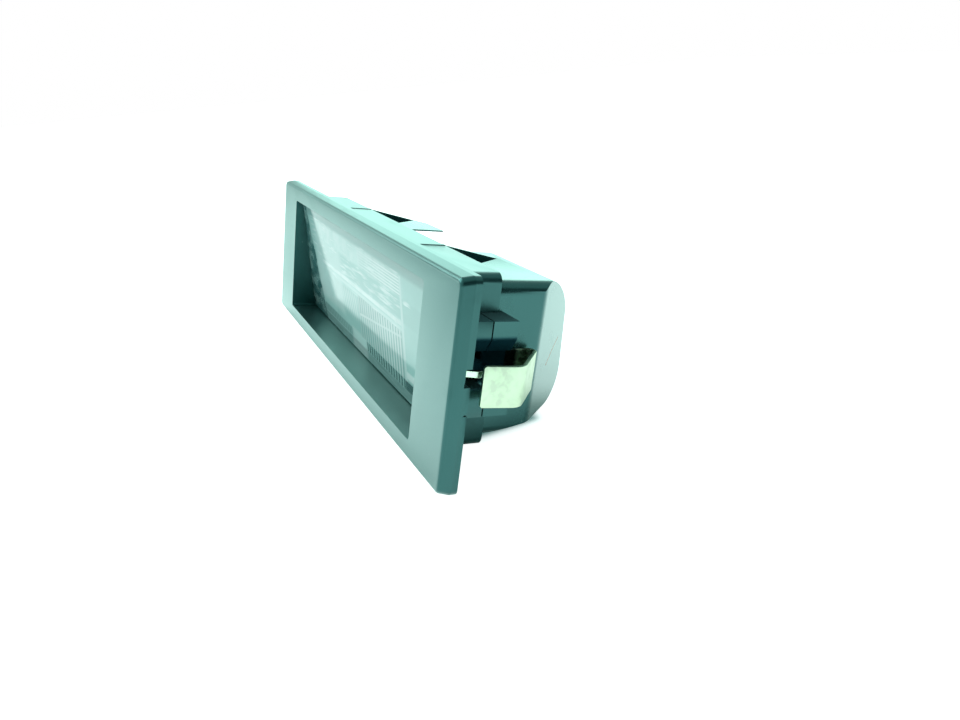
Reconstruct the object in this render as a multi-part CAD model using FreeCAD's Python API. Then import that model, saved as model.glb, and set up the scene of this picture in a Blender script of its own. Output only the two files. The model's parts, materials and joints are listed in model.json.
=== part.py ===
"""Number plate lamp: a snap-in lamp with a rectangular front frame, an inclined fluted lens,
a rear housing with a socket for the plug, a festoon bulb and a steel spring clip.

All sizes are millimetres. X runs along the lamp, and the clip is at the +X end. The front of the
frame faces -Y and +Z is up. The origin is the centre of the flange's rear face, which seats on
the body panel.
"""
import FreeCAD, Part

import math
import os

from FreeCAD import Vector

# Front frame: a flange that shows, and a collar behind it that enters the panel's cut-out.
flange_length = 84.0
flange_height = 26.2
flange_thickness = 2.4
flange_rim = 0.8
flange_draft = 0.35
flange_corner = 0.9
flange_edge_round = 0.55
flange_end_overhang = 8.9
flange_side_overhang = 1.6
collar_wall = 1.2
collar_depth = 7.4
collar_corner = 1.3
window_corner = 0.5
ledge_width = 1.7
recess_depth = 1.8

# Lens: an inclined plate that leans back towards its lower edge.
lens_top_setback = 1.1
lens_lean = 0.17
lens_thickness = 1.8
lens_gap = 0.2
seal_thickness = 0.3
seal_width = 1.4
flat_flute_height = 0.12
upright_flute_height = 0.2
flute_zone_margin = 10.2
flute_top_margin = 0.6
flute_low_margin = 1.4
flat_flute_pitch = 0.45
upright_flute_pitch = 1.1
lens_bar_radius = 0.55
lens_bar_half_band = 0.7
lens_bar_z = 0.2

# Festoon bulb, on an axis along X.
bulb_y = 10.0
bulb_z = -0.4
glass_radius = 4.9
glass_wall = 0.5
glass_half = 9.2
glass_neck_radius = 3.0
glass_neck_start = 11.6
glass_end = 13.6
glass_seal = 1.0
cap_radius = 3.7
cap_start = 11.9
cap_shoulder = 15.6
cap_tip_radius = 0.9
bulb_half = 18.2
cap_gap = 0.1
filament_half = 4.2
filament_radius = 0.4
lead_radius = 0.2

# Reflector: a bright bowl behind the lens.
reflector_wall = 1.0
reflector_rim = 0.5
reflector_straight = 1.8
reflector_edge = 0.4
reflector_bulb_gap = 1.2
reflector_foot_rise = 3.0
reflector_low_drop = 2.2
reflector_heel_run = 3.2
reflector_heel_rise = 2.6
reflector_end_run = 4.6

# Contacts: two brass strips that hold the bulb's caps and end as blades in the plug socket.
strip_thickness = 0.5
strip_low = -2.2
strip_height = 2.6
arm_front = 6.6
arm_half_height = 3.0
arm_hole_radius = 1.5
arm_hole_gap = 0.1
far_blade_x = -16.2
near_blade_x = -10.8
blade_thickness = 0.8
blade_reach = 5.8
carrier_thickness = 0.75
carrier_near_margin = 2.1
carrier_far_margin = 3.4
carrier_margin = 0.3
slot_gap = 0.1
rivet_radius = 0.8
rivet_head_radius = 1.15
rivet_head = 0.4
rivet_gap = 0.25
near_rivet_inset = 4.3
far_rivet_inset = 2.6

# Rear housing: a shell whose roof slopes down behind the collar, with a taller block by the clip.
# The places along Y are taken from the shell's rear face, those along Z from its top and bottom.
housing_wall = 1.4
housing_step = 1.2
housing_block_step = 1.0
housing_low_step = 1.4
housing_corner = 1.3
housing_top_corner = 1.75
housing_seal_thickness = 0.5
bore_gap = 0.2
spigot_gap = 0.2
roof_flat = 1.2
roof_foot_rise = 3.0
rear_edge = 0.8
rear_low_rise = 4.1
heel_run = 3.4
heel_rise = 0.7
block_start = 14.4
block_overlap = 3.5
block_roof_run = 5.0
block_shoulder_run = 1.2
block_shoulder_drop = 1.85
block_back_out = 1.1
block_back_drop = 4.9
block_rear_out = 2.25
block_rear_rise = 6.9
block_round_rise = 3.4
block_heel_run = 2.2
block_heel_rise = 2.0
block_bottom_run = 5.9
block_bottom_rise = 1.6
end_slant_start = 6.4
end_slant_run = 6.1
end_slant_rise = 7.6
end_slant_round = 2.0

# Latches on top of the housing: each is a pocket between an upright web and a slanted edge.
latch_rise = 1.0
latch_web = 0.9
latch_web_drop = 5.5
latch_depth = 6.8
collar_rib_height = 0.1
near_latch_web_x = 15.7
near_latch_apex_x = 18.9
near_latch_edge_x = 24.3
far_latch_web_x = -16.9
far_latch_apex_x = -13.3
far_latch_edge_x = -7.2
far_latch_rear_x = -10.7
far_latch_rear = 8.3
far_latch_end_x = -3.5
far_latch_root = 1.3
far_latch_tip = 0.25

# Clip post: it stands out from the near end, half on the frame and half on the housing.
post_reach = 4.1
post_top = 6.75
post_split = 4.55
post_slit = 0.18
post_root = 0.7
post_low = -5.35
post_window_top = 2.75
post_window_low = -1.6
post_window_front = 1.7
post_lip_rise = 1.7
post_lip_depth = 1.1
post_strap = 0.9
post_stand_off = 0.2
rib_low = 0.8
rib_high = 1.9
rib_end = 3.7
notch_low = 0.57
notch_high = 2.75
notch_depth = 0.8
notch_reach = 1.4
nick_z = -2.35
nick_size = 0.55

# Spring clip: a bent strip of steel. The places across are taken from the collar's end.
clip_thickness = 0.5
clip_top = 2.05
clip_width = 5.2
clip_wall_gap = 0.25
clip_bend = 0.75
clip_ramp_bend = 1.8
clip_corner_y = 13.5
clip_ramp_out = 6.85
clip_ramp_y = 7.9
clip_tip_out = 6.1
clip_tip_y = 3.0
tongue_inset = 0.7
tongue_tip_y = 1.8
tongue_bend_y = 3.95
tongue_lead = 0.35
tongue_low = -0.33
tongue_width = 0.85
clip_slot_gap = 0.1

# Fixed hook at the far end.
hook_reach = 3.6
hook_front = 3.0
hook_rear = 6.8
hook_half = 4.0
hook_lead = 1.6

# Plug socket on the back of the housing.
socket_margin = 3.8
socket_height = 8.4
socket_depth = 7.2
socket_wall = 1.3
socket_corner = 1.0
key_width = 1.6
key_height = 0.8

# Places of the frame that follow from the sizes above.
flange_front = -flange_thickness
end_x = flange_length / 2 - flange_end_overhang
collar_top = flange_height / 2 - flange_side_overhang
window_half = end_x - collar_wall
window_top = collar_top - collar_wall
wall_middle_x = end_x - collar_wall / 2
ledge_rear = collar_depth - recess_depth
opening_half = window_half - ledge_width
opening_top = window_top - ledge_width
lens_half = window_half - lens_gap
lens_top = window_top - lens_gap
flute_zone_half = opening_half - flute_zone_margin
flat_flute_high = opening_top - flute_top_margin
flat_flute_low = lens_bar_z + lens_bar_half_band
upright_flute_high = lens_bar_z - lens_bar_half_band
upright_flute_low = flute_low_margin - opening_top

# Places inside, one behind the other from the bulb to the housing's rear face.
rim_half = opening_half + reflector_rim
rim_top = opening_top + reflector_rim
reflector_rear = bulb_y + glass_radius + reflector_bulb_gap + reflector_wall
strip_front = reflector_rear + rivet_gap + rivet_head
strip_rear = strip_front + strip_thickness
carrier_rear = strip_rear + carrier_thickness
rear_y = carrier_rear + housing_wall
blade_end = rear_y + blade_reach
cone_slope = (cap_radius - cap_tip_radius) / (bulb_half - cap_shoulder)
arm_x = bulb_half - (arm_hole_radius - arm_hole_gap - cap_tip_radius) / cone_slope
near_rivet_x = arm_x - near_rivet_inset
far_rivet_x = near_blade_x + far_rivet_inset
rivet_places = (far_rivet_x, (far_rivet_x + near_rivet_x) / 2, near_rivet_x)
carrier_near_end = near_rivet_x + carrier_near_margin
carrier_far_end = far_blade_x - carrier_far_margin

# Places of the housing, the post, the clip and the socket.
housing_top = collar_top - housing_step
housing_block_top = collar_top - housing_block_step
housing_bottom = housing_low_step - collar_top
spigot_front = ledge_rear + housing_seal_thickness
low_end_x = block_start + block_overlap
latch_rear = collar_depth + latch_depth
post_x = end_x + post_reach
post_rear = collar_depth + post_root
inner_leg_x = end_x + clip_wall_gap + clip_thickness / 2
clip_low = clip_top - clip_width
strip_middle_z = strip_low + strip_height / 2
socket_length = near_blade_x - far_blade_x + blade_thickness + 2 * socket_margin
socket_centre_x = (far_blade_x + near_blade_x) / 2


def lens_front_y(z):
    """Y of the lens's front face at height z."""
    return flange_front + lens_top_setback + lens_lean * (window_top - z)


def polygon(points):
    """A flat face from its corner points."""
    return Part.Face(Part.makePolygon(list(points) + [points[0]]))


def prism_x(points, x_low, x_high):
    """A solid along X from (y, z) corners."""
    face = polygon([Vector(x_low, y, z) for y, z in points])
    return face.extrude(Vector(x_high - x_low, 0, 0))


def prism_z(points, z_low, z_high):
    """A solid along Z from (x, y) corners."""
    face = polygon([Vector(x, y, z_low) for x, y in points])
    return face.extrude(Vector(0, 0, z_high - z_low))


def box(x_low, x_high, y_low, y_high, z_low, z_high):
    """A block between two corners."""
    corner = Vector(x_low, y_low, z_low)
    return Part.makeBox(x_high - x_low, y_high - y_low, z_high - z_low, corner)


def rounded_wire(half_x, z_low, z_high, radius, y):
    """A rectangle with round corners, in the plane of the given y."""
    x_in = half_x - radius
    z_in_low = z_low + radius
    z_in_high = z_high - radius
    mid = radius * math.sqrt(0.5)
    edges = []
    corners = [(x_in, z_in_low, 1, -1), (x_in, z_in_high, 1, 1),
               (-x_in, z_in_high, -1, 1), (-x_in, z_in_low, -1, -1)]
    ends = []
    for x, z, side, rise in corners:
        across = Vector(x + side * radius, y, z)
        upright = Vector(x, y, z + rise * radius)
        middle = Vector(x + side * mid, y, z + rise * mid)
        first, last = (upright, across) if side * rise < 0 else (across, upright)
        ends.append((first, last))
        edges.append(Part.Arc(first, middle, last).toShape())
    for number in range(len(ends)):
        start = ends[number][1]
        stop = ends[(number + 1) % len(ends)][0]
        edges.append(Part.LineSegment(start, stop).toShape())
    return Part.Wire(Part.__sortEdges__(edges))


def rounded_block(half_x, z_low, z_high, radius, y_low, y_high):
    """A block along Y with four round edges."""
    face = Part.Face(rounded_wire(half_x, z_low, z_high, radius, y_low))
    return face.extrude(Vector(0, y_high - y_low, 0))


def cylinder_x(radius, x_low, x_high, y, z):
    """A round bar along X."""
    return Part.makeCylinder(radius, x_high - x_low, Vector(x_low, y, z), Vector(1, 0, 0))


def cylinder_y(radius, y_low, y_high, x, z):
    """A round bar along Y."""
    return Part.makeCylinder(radius, y_high - y_low, Vector(x, y_low, z), Vector(0, 1, 0))


def front_frame():
    """The flange, the collar, the window with its inclined ledge, the clip post and the hook."""
    front = rounded_wire(flange_length / 2 - flange_draft, flange_draft - flange_height / 2,
                         flange_height / 2 - flange_draft, flange_corner, flange_front)
    rim = rounded_wire(flange_length / 2, -flange_height / 2, flange_height / 2, flange_corner,
                       -flange_rim)
    flange = Part.makeLoft([front, rim], True, True)
    front_edges = [edge for edge in flange.Edges
                   if abs(edge.BoundBox.YMax - flange_front) < 1e-6]
    flange = flange.makeFillet(flange_edge_round, front_edges)
    flange = flange.fuse(rounded_block(flange_length / 2, -flange_height / 2, flange_height / 2,
                                       flange_corner, -flange_rim, 0))
    collar = rounded_block(end_x, -collar_top, collar_top, collar_corner, -flange_rim,
                           collar_depth)
    solid = flange.fuse([collar, frame_post(), frame_hook(), collar_rib(near_latch_web_x),
                         collar_rib(far_latch_web_x)])
    return solid.cut([window_space(), ledge_opening(), housing_recess(), flange_notch(),
                      flange_nick()]).removeSplitter()


def window_space():
    """The room in front of the ledge: the window, the lens and its seal."""
    behind = lens_thickness + seal_thickness
    high = window_top
    outline = [(flange_front - 1, high), (lens_front_y(high) + behind, high),
               (lens_front_y(-high) + behind, -high), (flange_front - 1, -high)]
    space = prism_x(outline, -window_half, window_half)
    shape = rounded_block(window_half, -high, high, window_corner, flange_front - 1,
                          collar_depth)
    return space.common(shape)


def ledge_opening():
    """The opening inside the ledge, for the light."""
    return rounded_block(opening_half, -opening_top, opening_top, window_corner, flange_front,
                         ledge_rear)


def housing_recess():
    """The recess at the collar's rear end that takes the housing's spigot."""
    return rounded_block(window_half, -window_top, window_top, window_corner, ledge_rear,
                         collar_depth + 1)


def frame_post():
    """The front part of the clip post: a window for the clip's tongue, with a rib over it."""
    block = box(wall_middle_x, post_x, -flange_rim, post_split, post_low, post_top)
    window = box(end_x, post_x + 1, post_window_front, post_split + 1, post_window_low,
                 post_window_top).fuse(window_lip(post_window_front, post_split + 1))
    rib = box(wall_middle_x, post_x, post_window_front - 1, rib_end, rib_low, rib_high)
    rib_edges = [edge for edge in rib.Edges
                 if abs(edge.BoundBox.YMin - rib_end) < 1e-6
                 and edge.BoundBox.ZMin > rib_high - 1e-6]
    rounded = rib.makeFillet((rib_high - rib_low) / 4, rib_edges)
    return block.cut(window).fuse(rounded)


def window_lip(y_low, y_high):
    """The slope that opens the post window's top edge towards the outside."""
    inside = post_x - post_lip_depth
    face = polygon([Vector(inside, y_low, post_window_top), Vector(post_x, y_low, post_window_top),
                    Vector(post_x, y_low, post_window_top + post_lip_rise)])
    return face.extrude(Vector(0, y_high - y_low, 0))


def collar_rib(web_x):
    """A low rib along the collar's top, in line with a latch's web."""
    return box(web_x - latch_web, web_x, -flange_rim, collar_depth,
               collar_top - collar_rib_height, collar_top + collar_rib_height)


def flange_notch():
    """A notch in the flange's rear edge, in line with the clip's tongue."""
    return box(flange_length / 2 - notch_reach, flange_length / 2 + 1, -notch_depth, 1,
               notch_low, notch_high).cut(box(0, post_x, -1, 1, notch_low, notch_high))


def flange_nick():
    """A small three-cornered nick in the flange's rear edge."""
    reach = flange_length / 2
    face = polygon([Vector(reach + 1, 0.05, nick_z), Vector(reach + 1, 0.05, nick_z - nick_size),
                    Vector(reach + 1, -nick_size, nick_z - nick_size)])
    return face.extrude(Vector(-1 - nick_size, 0, 0))


def frame_hook():
    """The fixed hook at the far end, with a slanted lead."""
    root = -wall_middle_x
    outline = [(root, hook_front), (-end_x - hook_reach, hook_front),
               (-end_x - hook_reach, hook_rear - hook_lead),
               (-end_x - hook_reach + hook_lead, hook_rear), (root, hook_rear)]
    return prism_z(outline, -hook_half, hook_half)


def lens_outline(shift):
    """(y, z) corners of an inclined plate, shifted back by the given amount."""
    high = lens_top
    return [(lens_front_y(high) + shift, high), (lens_front_y(-high) + shift, -high)]


def lens():
    """The clear lens: an inclined plate with two fluted zones and a bar on its rear face."""
    front = lens_outline(0)
    back = lens_outline(lens_thickness)
    plate = prism_x([front[0], front[1], back[1], back[0]], -lens_half, lens_half)
    body = plate.fuse([flat_flutes(), upright_flutes(), lens_bar()])
    return body.common(rounded_block(lens_half, -lens_top, lens_top,
                                     window_corner, flange_front - 1, collar_depth))


def lens_rear_y(z):
    """Y of the lens plate's rear face at height z."""
    return lens_front_y(z) + lens_thickness


def flat_flutes():
    """Flutes along X over the upper zone of the lens's rear face."""
    count = int((flat_flute_high - flat_flute_low) / flat_flute_pitch)
    low = flat_flute_high - count * flat_flute_pitch
    outline = [(lens_rear_y(flat_flute_high) - lens_thickness / 2, flat_flute_high)]
    for number in range(count):
        top = flat_flute_high - number * flat_flute_pitch
        crest = top - flat_flute_pitch / 2
        outline.append((lens_rear_y(top), top))
        outline.append((lens_rear_y(crest) + flat_flute_height, crest))
    outline.append((lens_rear_y(low), low))
    outline.append((lens_rear_y(low) - lens_thickness / 2, low))
    return prism_x(outline, -flute_zone_half, flute_zone_half)


def upright_flutes():
    """Flutes that run down the lower zone of the lens's rear face, along its lean."""
    z = upright_flute_low
    count = int(2 * flute_zone_half / upright_flute_pitch)
    start = -count * upright_flute_pitch / 2
    rear = lens_rear_y(z)
    corners = [Vector(start, rear - lens_thickness / 2, z)]
    for number in range(count):
        left = start + number * upright_flute_pitch
        corners.append(Vector(left, rear, z))
        corners.append(Vector(left + upright_flute_pitch / 2, rear + upright_flute_height, z))
    corners.append(Vector(-start, rear, z))
    corners.append(Vector(-start, rear - lens_thickness / 2, z))
    rise = upright_flute_high - upright_flute_low
    return polygon(corners).extrude(Vector(0, -lens_lean * rise, rise))


def lens_bar():
    """The half-round bar between the two fluted zones."""
    return cylinder_x(lens_bar_radius, -flute_zone_half, flute_zone_half,
                      lens_rear_y(lens_bar_z), lens_bar_z)


def lens_seal():
    """The thin seal between the lens's border and the ledge."""
    front = lens_outline(lens_thickness)
    back = lens_outline(lens_thickness + seal_thickness)
    plate = prism_x([front[0], front[1], back[1], back[0]], -lens_half, lens_half)
    shape = rounded_block(lens_half, -lens_top, lens_top, window_corner,
                          flange_front, collar_depth)
    opening = rounded_block(lens_half - seal_width, seal_width - lens_top,
                            lens_top - seal_width, window_corner, flange_front,
                            collar_depth)
    return plate.common(shape).cut(opening)


def section_prism(wire, inset, x_low, x_high):
    """A solid along X from a closed outline in the YZ plane, made smaller by the inset."""
    outline = wire.makeOffset2D(-inset, 2) if inset else wire
    return Part.Face(outline.translated(Vector(x_low, 0, 0))).extrude(Vector(x_high - x_low, 0, 0))


def low_section():
    """Outline of the housing where its roof slopes down, from the top of its front."""
    foot = bulb_z + roof_foot_rise
    corners = [(collar_depth, housing_top), (collar_depth + roof_flat, housing_top),
               (rear_y - rear_edge / 2, foot), (rear_y, foot - rear_edge),
               (rear_y, housing_bottom + rear_low_rise),
               (rear_y - heel_run, housing_bottom + heel_rise), (collar_depth, housing_bottom)]
    return Part.makePolygon([Vector(0, y, z) for y, z in corners + corners[:1]])


def block_section():
    """Outline of the housing's taller block by the clip, with a round shoulder and heel."""
    top = Vector(0, collar_depth, housing_block_top)
    roof = Vector(0, rear_y - block_roof_run, housing_block_top)
    shoulder = Vector(0, rear_y - block_shoulder_run, housing_block_top - block_shoulder_drop)
    back = Vector(0, rear_y + block_back_out, housing_block_top - block_back_drop)
    rear = Vector(0, rear_y + block_rear_out, housing_bottom + block_rear_rise)
    turn = Vector(0, rear_y + block_back_out, housing_bottom + block_round_rise)
    heel = Vector(0, rear_y - block_heel_run, housing_bottom + block_heel_rise)
    bottom = Vector(0, rear_y - block_bottom_run, housing_bottom + block_bottom_rise)
    front = Vector(0, collar_depth, housing_bottom)
    straight = [(top, roof), (back, rear), (heel, bottom), (bottom, front), (front, top)]
    edges = [Part.LineSegment(first, last).toShape() for first, last in straight]
    edges += [Part.Arc(roof, shoulder, back).toShape(), Part.Arc(rear, turn, heel).toShape()]
    return Part.Wire(Part.__sortEdges__(edges))


def low_prism(inset, x_high):
    """The housing's low stretch, from the far end to the given x."""
    return section_prism(low_section(), inset, -end_x, x_high)


def housing_form(inset):
    """The housing's closed form: two sections joined, with slanted ends and round long edges."""
    block = section_prism(block_section(), inset, block_start + inset, end_x)
    side = end_x - inset
    reach = rear_y + block_rear_out - inset
    lean = math.hypot(end_slant_run, end_slant_rise) / end_slant_rise
    bend_y = rear_y - end_slant_start - inset * (lean - 1) * end_slant_rise / end_slant_run
    rear_x = side - (reach - bend_y) * end_slant_run / end_slant_rise
    plan = [(-side, collar_depth), (side, collar_depth), (side, bend_y), (rear_x, reach),
            (-rear_x, reach), (-side, bend_y)]
    front_view = rounded_block(side, housing_bottom + inset, housing_block_top - inset,
                               housing_corner - inset / 2, collar_depth, 2 * rear_y)
    top_view = rounded_block(side, -flange_height, housing_block_top - inset,
                             housing_top_corner - inset / 2, collar_depth, 2 * rear_y)
    plan_solid = prism_z(plan, -flange_height, flange_height)
    bends = [edge for edge in plan_solid.Edges if abs(edge.BoundBox.YMin - bend_y) < 1e-6
             and abs(edge.BoundBox.YMax - bend_y) < 1e-6]
    plan_solid = plan_solid.makeFillet(end_slant_round, bends)
    form = low_prism(inset, low_end_x - inset).fuse(block)
    return form.common(plan_solid).common(front_view.common(top_view))


def housing_cavity():
    """The room inside the housing. It stays a wall's thickness away from the near pocket."""
    under_pocket = near_pocket(housing_wall).cut(low_prism(housing_wall, end_x))
    return housing_form(housing_wall).cut(under_pocket)


def housing_bore():
    """The opening through the spigot and the housing's front wall."""
    half = rim_half + bore_gap
    high = rim_top + bore_gap
    return box(-half, half, ledge_rear - 1, collar_depth + housing_wall, -high, high)


def spigot_block(y_low, y_high):
    """A block with the outline that fits the frame's rear recess."""
    return rounded_block(window_half - spigot_gap, housing_bottom + spigot_gap,
                         housing_top - spigot_gap, window_corner, y_low, y_high)


def housing_spigot():
    """The spigot that enters the frame's rear recess."""
    return spigot_block(spigot_front, collar_depth + housing_wall)


def near_pocket(margin):
    """The three-cornered space beside the near latch's web, wider by the margin."""
    rear = latch_rear + margin
    front = collar_depth - margin
    return prism_z([(near_latch_web_x - margin, front), (near_latch_apex_x - margin / 2, rear),
                    (near_latch_apex_x + margin / 2 + 0.01, rear),
                    (near_latch_edge_x + margin, front)], 0, flange_height)


def latch_web_solid(web_x, apex_x):
    """A latch's upright web, whose top edge falls from the collar's top to the housing's."""
    high = housing_block_top + latch_rise
    low = housing_block_top - latch_web_drop
    plan = [(web_x - latch_web, collar_depth), (web_x, collar_depth), (apex_x, latch_rear),
            (apex_x - latch_web, latch_rear)]
    side = [(collar_depth, high), (latch_rear, housing_block_top), (latch_rear, low),
            (collar_depth, low)]
    return prism_z(plan, low, high).common(prism_x(side, -flange_length, flange_length))


def far_latch_plate():
    """The far latch's flat finger, which thins out towards its free end."""
    top = housing_block_top
    end = collar_depth + far_latch_rear
    plan = [(far_latch_edge_x, collar_depth), (far_latch_apex_x, latch_rear),
            (far_latch_apex_x - latch_web, latch_rear), (far_latch_rear_x, end),
            (far_latch_end_x, end), (far_latch_end_x, collar_depth)]
    plate = prism_z(plan, top - far_latch_root, top)
    under = polygon([Vector(far_latch_apex_x, 0, top - far_latch_root),
                     Vector(far_latch_end_x, 0, top - far_latch_tip),
                     Vector(far_latch_end_x, 0, top - 2 * far_latch_root),
                     Vector(far_latch_apex_x, 0, top - 2 * far_latch_root)])
    return plate.cut(under.extrude(Vector(0, 2 * end, 0)))


def plug_socket():
    """The shroud of the plug socket, solid."""
    shroud = rounded_block(socket_length / 2, -socket_height / 2, socket_height / 2,
                           socket_corner, rear_y - housing_wall / 2, rear_y + socket_depth)
    return shroud.translated(Vector(socket_centre_x, 0, strip_middle_z))


def plug_space():
    """The room inside the plug socket, with a key rib left standing."""
    room = rounded_block(socket_length / 2 - socket_wall, socket_wall - socket_height / 2,
                         socket_height / 2 - socket_wall, socket_corner / 2, rear_y,
                         rear_y + socket_depth + 1)
    top = socket_height / 2 - socket_wall
    key = box(-key_width / 2, key_width / 2, rear_y, rear_y + socket_depth, top - key_height,
              top)
    return room.cut(key).translated(Vector(socket_centre_x, 0, strip_middle_z))


def blade_slot(x, y_low, y_high):
    """A slot for one contact blade."""
    half = blade_thickness / 2 + slot_gap
    return box(x - half, x + half, y_low, y_high, strip_low - slot_gap,
               strip_low + strip_height + slot_gap)


def housing_post():
    """The rear part of the clip post: an arm beside the collar's end, with a blind window.

    The strap that stays at the window's back holds the clip's inner leg.
    """
    arm = box(end_x + post_stand_off, post_x, post_split + post_slit, post_rear, post_low,
              post_top)
    root = box(end_x - housing_wall, post_x, collar_depth, post_rear, post_low, post_top)
    passage_low = clip_low - clip_slot_gap
    passage_x = inner_leg_x + clip_thickness / 2 + clip_slot_gap
    passage = box(end_x, passage_x, post_split, post_rear + 1, passage_low,
                  clip_top + clip_slot_gap)
    window = box(passage_x + post_strap, post_x + 1, post_split, post_rear + 1, passage_low,
                 post_window_top)
    return arm.fuse(root).cut([passage, window, window_lip(post_split, post_rear)])


def rear_housing():
    """The hollow rear housing with its latches, clip post and plug socket."""
    pocket = near_pocket(0).cut(low_prism(0, end_x))
    body = housing_form(0).cut(pocket)
    body = body.fuse([housing_spigot(), plug_socket(), housing_post(), far_latch_plate(),
                      latch_web_solid(near_latch_web_x, near_latch_apex_x),
                      latch_web_solid(far_latch_web_x, far_latch_apex_x)])
    slots = [blade_slot(x, rear_y - housing_wall - 1, rear_y + 1)
             for x in (far_blade_x, near_blade_x)]
    return body.cut([housing_cavity(), housing_bore(), plug_space()] + slots).removeSplitter()


def housing_seal():
    """The seal between the frame's ledge and the housing's spigot."""
    return spigot_block(ledge_rear, spigot_front).cut(housing_bore())


def reflector_form(inset):
    """The reflector's closed form, smaller by the inset on every side but the front."""
    high = rim_top - inset
    half = rim_half - inset
    rear = reflector_rear - inset
    shift = inset / 2
    foot = bulb_z + reflector_foot_rise - shift
    bend = ledge_rear + reflector_straight
    section = [(ledge_rear, high), (bend - shift, high), (rear - reflector_edge, foot),
               (rear, foot - 2 * reflector_edge), (rear, bulb_z - reflector_low_drop + shift),
               (reflector_rear - reflector_heel_run - shift,
                reflector_heel_rise - rim_top + inset), (ledge_rear, -high)]
    plan = [(-half, ledge_rear), (half, ledge_rear), (half, bend),
            (half - reflector_end_run, rear), (reflector_end_run - half, rear), (-half, bend)]
    return prism_x(section, -half, half).common(prism_z(plan, -high, high))


def arm_slot(side):
    """The slot in the reflector's back for one contact arm."""
    middle = side * (arm_x + strip_thickness / 2)
    half = strip_thickness / 2 + 2 * slot_gap
    high = arm_half_height + 2 * slot_gap
    return box(middle - half, middle + half, bulb_y + glass_radius / 2, reflector_rear + 1,
               bulb_z - high, bulb_z + high)


def reflector():
    """The reflector: a thin bowl, open at the front, with a slot for each contact arm."""
    space = reflector_form(reflector_wall)
    return reflector_form(0).cut([space, arm_slot(-1), arm_slot(1)])


def on_bulb_axis(shape):
    """Move a shape from the X axis to the bulb's axis."""
    return shape.translated(Vector(0, bulb_y, bulb_z))


def turned(points):
    """A solid turned about the X axis from (x, radius) corners."""
    face = polygon([Vector(x, radius, 0) for x, radius in points])
    return face.revolve(Vector(0, 0, 0), Vector(1, 0, 0), 360)


def glass_form(inset, end):
    """The bulb's glass as a closed form, smaller by the inset, from neck to neck."""
    radius = glass_radius - inset
    neck = glass_neck_radius - inset
    return turned([(-end, 0), (-end, neck), (-glass_neck_start, neck), (-glass_half, radius),
                   (glass_half, radius), (glass_neck_start, neck), (end, neck), (end, 0)])


def bulb_glass():
    """The bulb's hollow glass."""
    inner = glass_form(glass_wall, glass_end - glass_seal)
    return on_bulb_axis(glass_form(0, glass_end).cut(inner))


def bulb_cap(side):
    """One metal cap of the bulb: a cup over the glass neck with a round-nosed cone."""
    bore = glass_neck_radius + cap_gap
    floor = glass_end + cap_gap
    nose = bulb_half + cap_tip_radius / 2
    profile = [(cap_start, bore), (cap_start, cap_radius), (cap_shoulder, cap_radius),
               (nose - cap_tip_radius / 2, cap_tip_radius), (nose, cap_tip_radius / 2), (nose, 0),
               (floor, 0), (floor, bore)]
    return on_bulb_axis(turned([(side * x, radius) for x, radius in profile]))


def bulb_filament():
    """The filament, as the round space that its coil fills."""
    return on_bulb_axis(cylinder_x(filament_radius, -filament_half, filament_half, 0, 0))


def bulb_lead(side):
    """One lead wire from the filament to the end of the glass."""
    ends = sorted((side * filament_half, side * (glass_end - glass_seal)))
    return on_bulb_axis(cylinder_x(lead_radius, ends[0], ends[1], 0, 0))


def contact_arm(side):
    """The upright arm that holds one cap, with a hole for the cap's nose."""
    low, high = sorted((side * arm_x, side * (arm_x + strip_thickness)))
    arm = box(low, high, arm_front, strip_rear, bulb_z - arm_half_height,
              bulb_z + arm_half_height)
    neck_top = box(low, high, reflector_rear, strip_rear,
                   strip_low + strip_height, bulb_z + arm_half_height)
    neck_low = box(low, high, reflector_rear, strip_rear,
                   bulb_z - arm_half_height, strip_low)
    hole = cylinder_x(arm_hole_radius, low - 1, high + 1, bulb_y, bulb_z)
    return arm.cut([neck_top, neck_low, hole])


def contact_strip(x_low, x_high):
    """The strip that lies on the carrier."""
    return box(x_low, x_high, strip_front, strip_rear, strip_low,
               strip_low + strip_height)


def contact_blade(x):
    """The blade that passes through the wall into the plug socket."""
    half = blade_thickness / 2
    blade = box(x - half, x + half, strip_front, blade_end, strip_low, strip_low + strip_height)
    tip = [edge for edge in blade.Edges if edge.BoundBox.YMin > blade_end - 1e-6
           and edge.BoundBox.ZMax - edge.BoundBox.ZMin > strip_height / 2]
    return blade.makeChamfer(half / 2, tip)


def rivet_hole(x):
    """A hole through the strip and the carrier for one rivet."""
    return cylinder_y(rivet_radius, strip_front - 1, carrier_rear + 1, x, strip_middle_z)


def contact_near():
    """The brass contact of the near cap, with its strip and blade."""
    shape = contact_arm(1).fuse([contact_strip(near_blade_x, arm_x + strip_thickness),
                                 contact_blade(near_blade_x)])
    return shape.cut([rivet_hole(x) for x in rivet_places]).removeSplitter()


def contact_far():
    """The brass contact of the far cap, with its strip and blade."""
    shape = contact_arm(-1).fuse([contact_strip(-arm_x - strip_thickness, far_blade_x),
                                  contact_blade(far_blade_x)])
    return shape.removeSplitter()


def contact_carrier():
    """The insulating bar between the strips and the housing's rear wall."""
    bar = box(carrier_far_end, carrier_near_end, strip_rear, carrier_rear,
              strip_low - carrier_margin, strip_low + strip_height + carrier_margin)
    slots = [blade_slot(x, strip_front, rear_y) for x in (far_blade_x, near_blade_x)]
    return bar.cut(slots + [rivet_hole(x) for x in rivet_places])


def contact_rivet(x):
    """A rivet that holds the long strip to the carrier."""
    shank = cylinder_y(rivet_radius, strip_front, carrier_rear, x, strip_middle_z)
    head = cylinder_y(rivet_head_radius, strip_front - rivet_head, strip_front, x,
                      strip_middle_z)
    return shank.fuse(head).removeSplitter()


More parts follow.
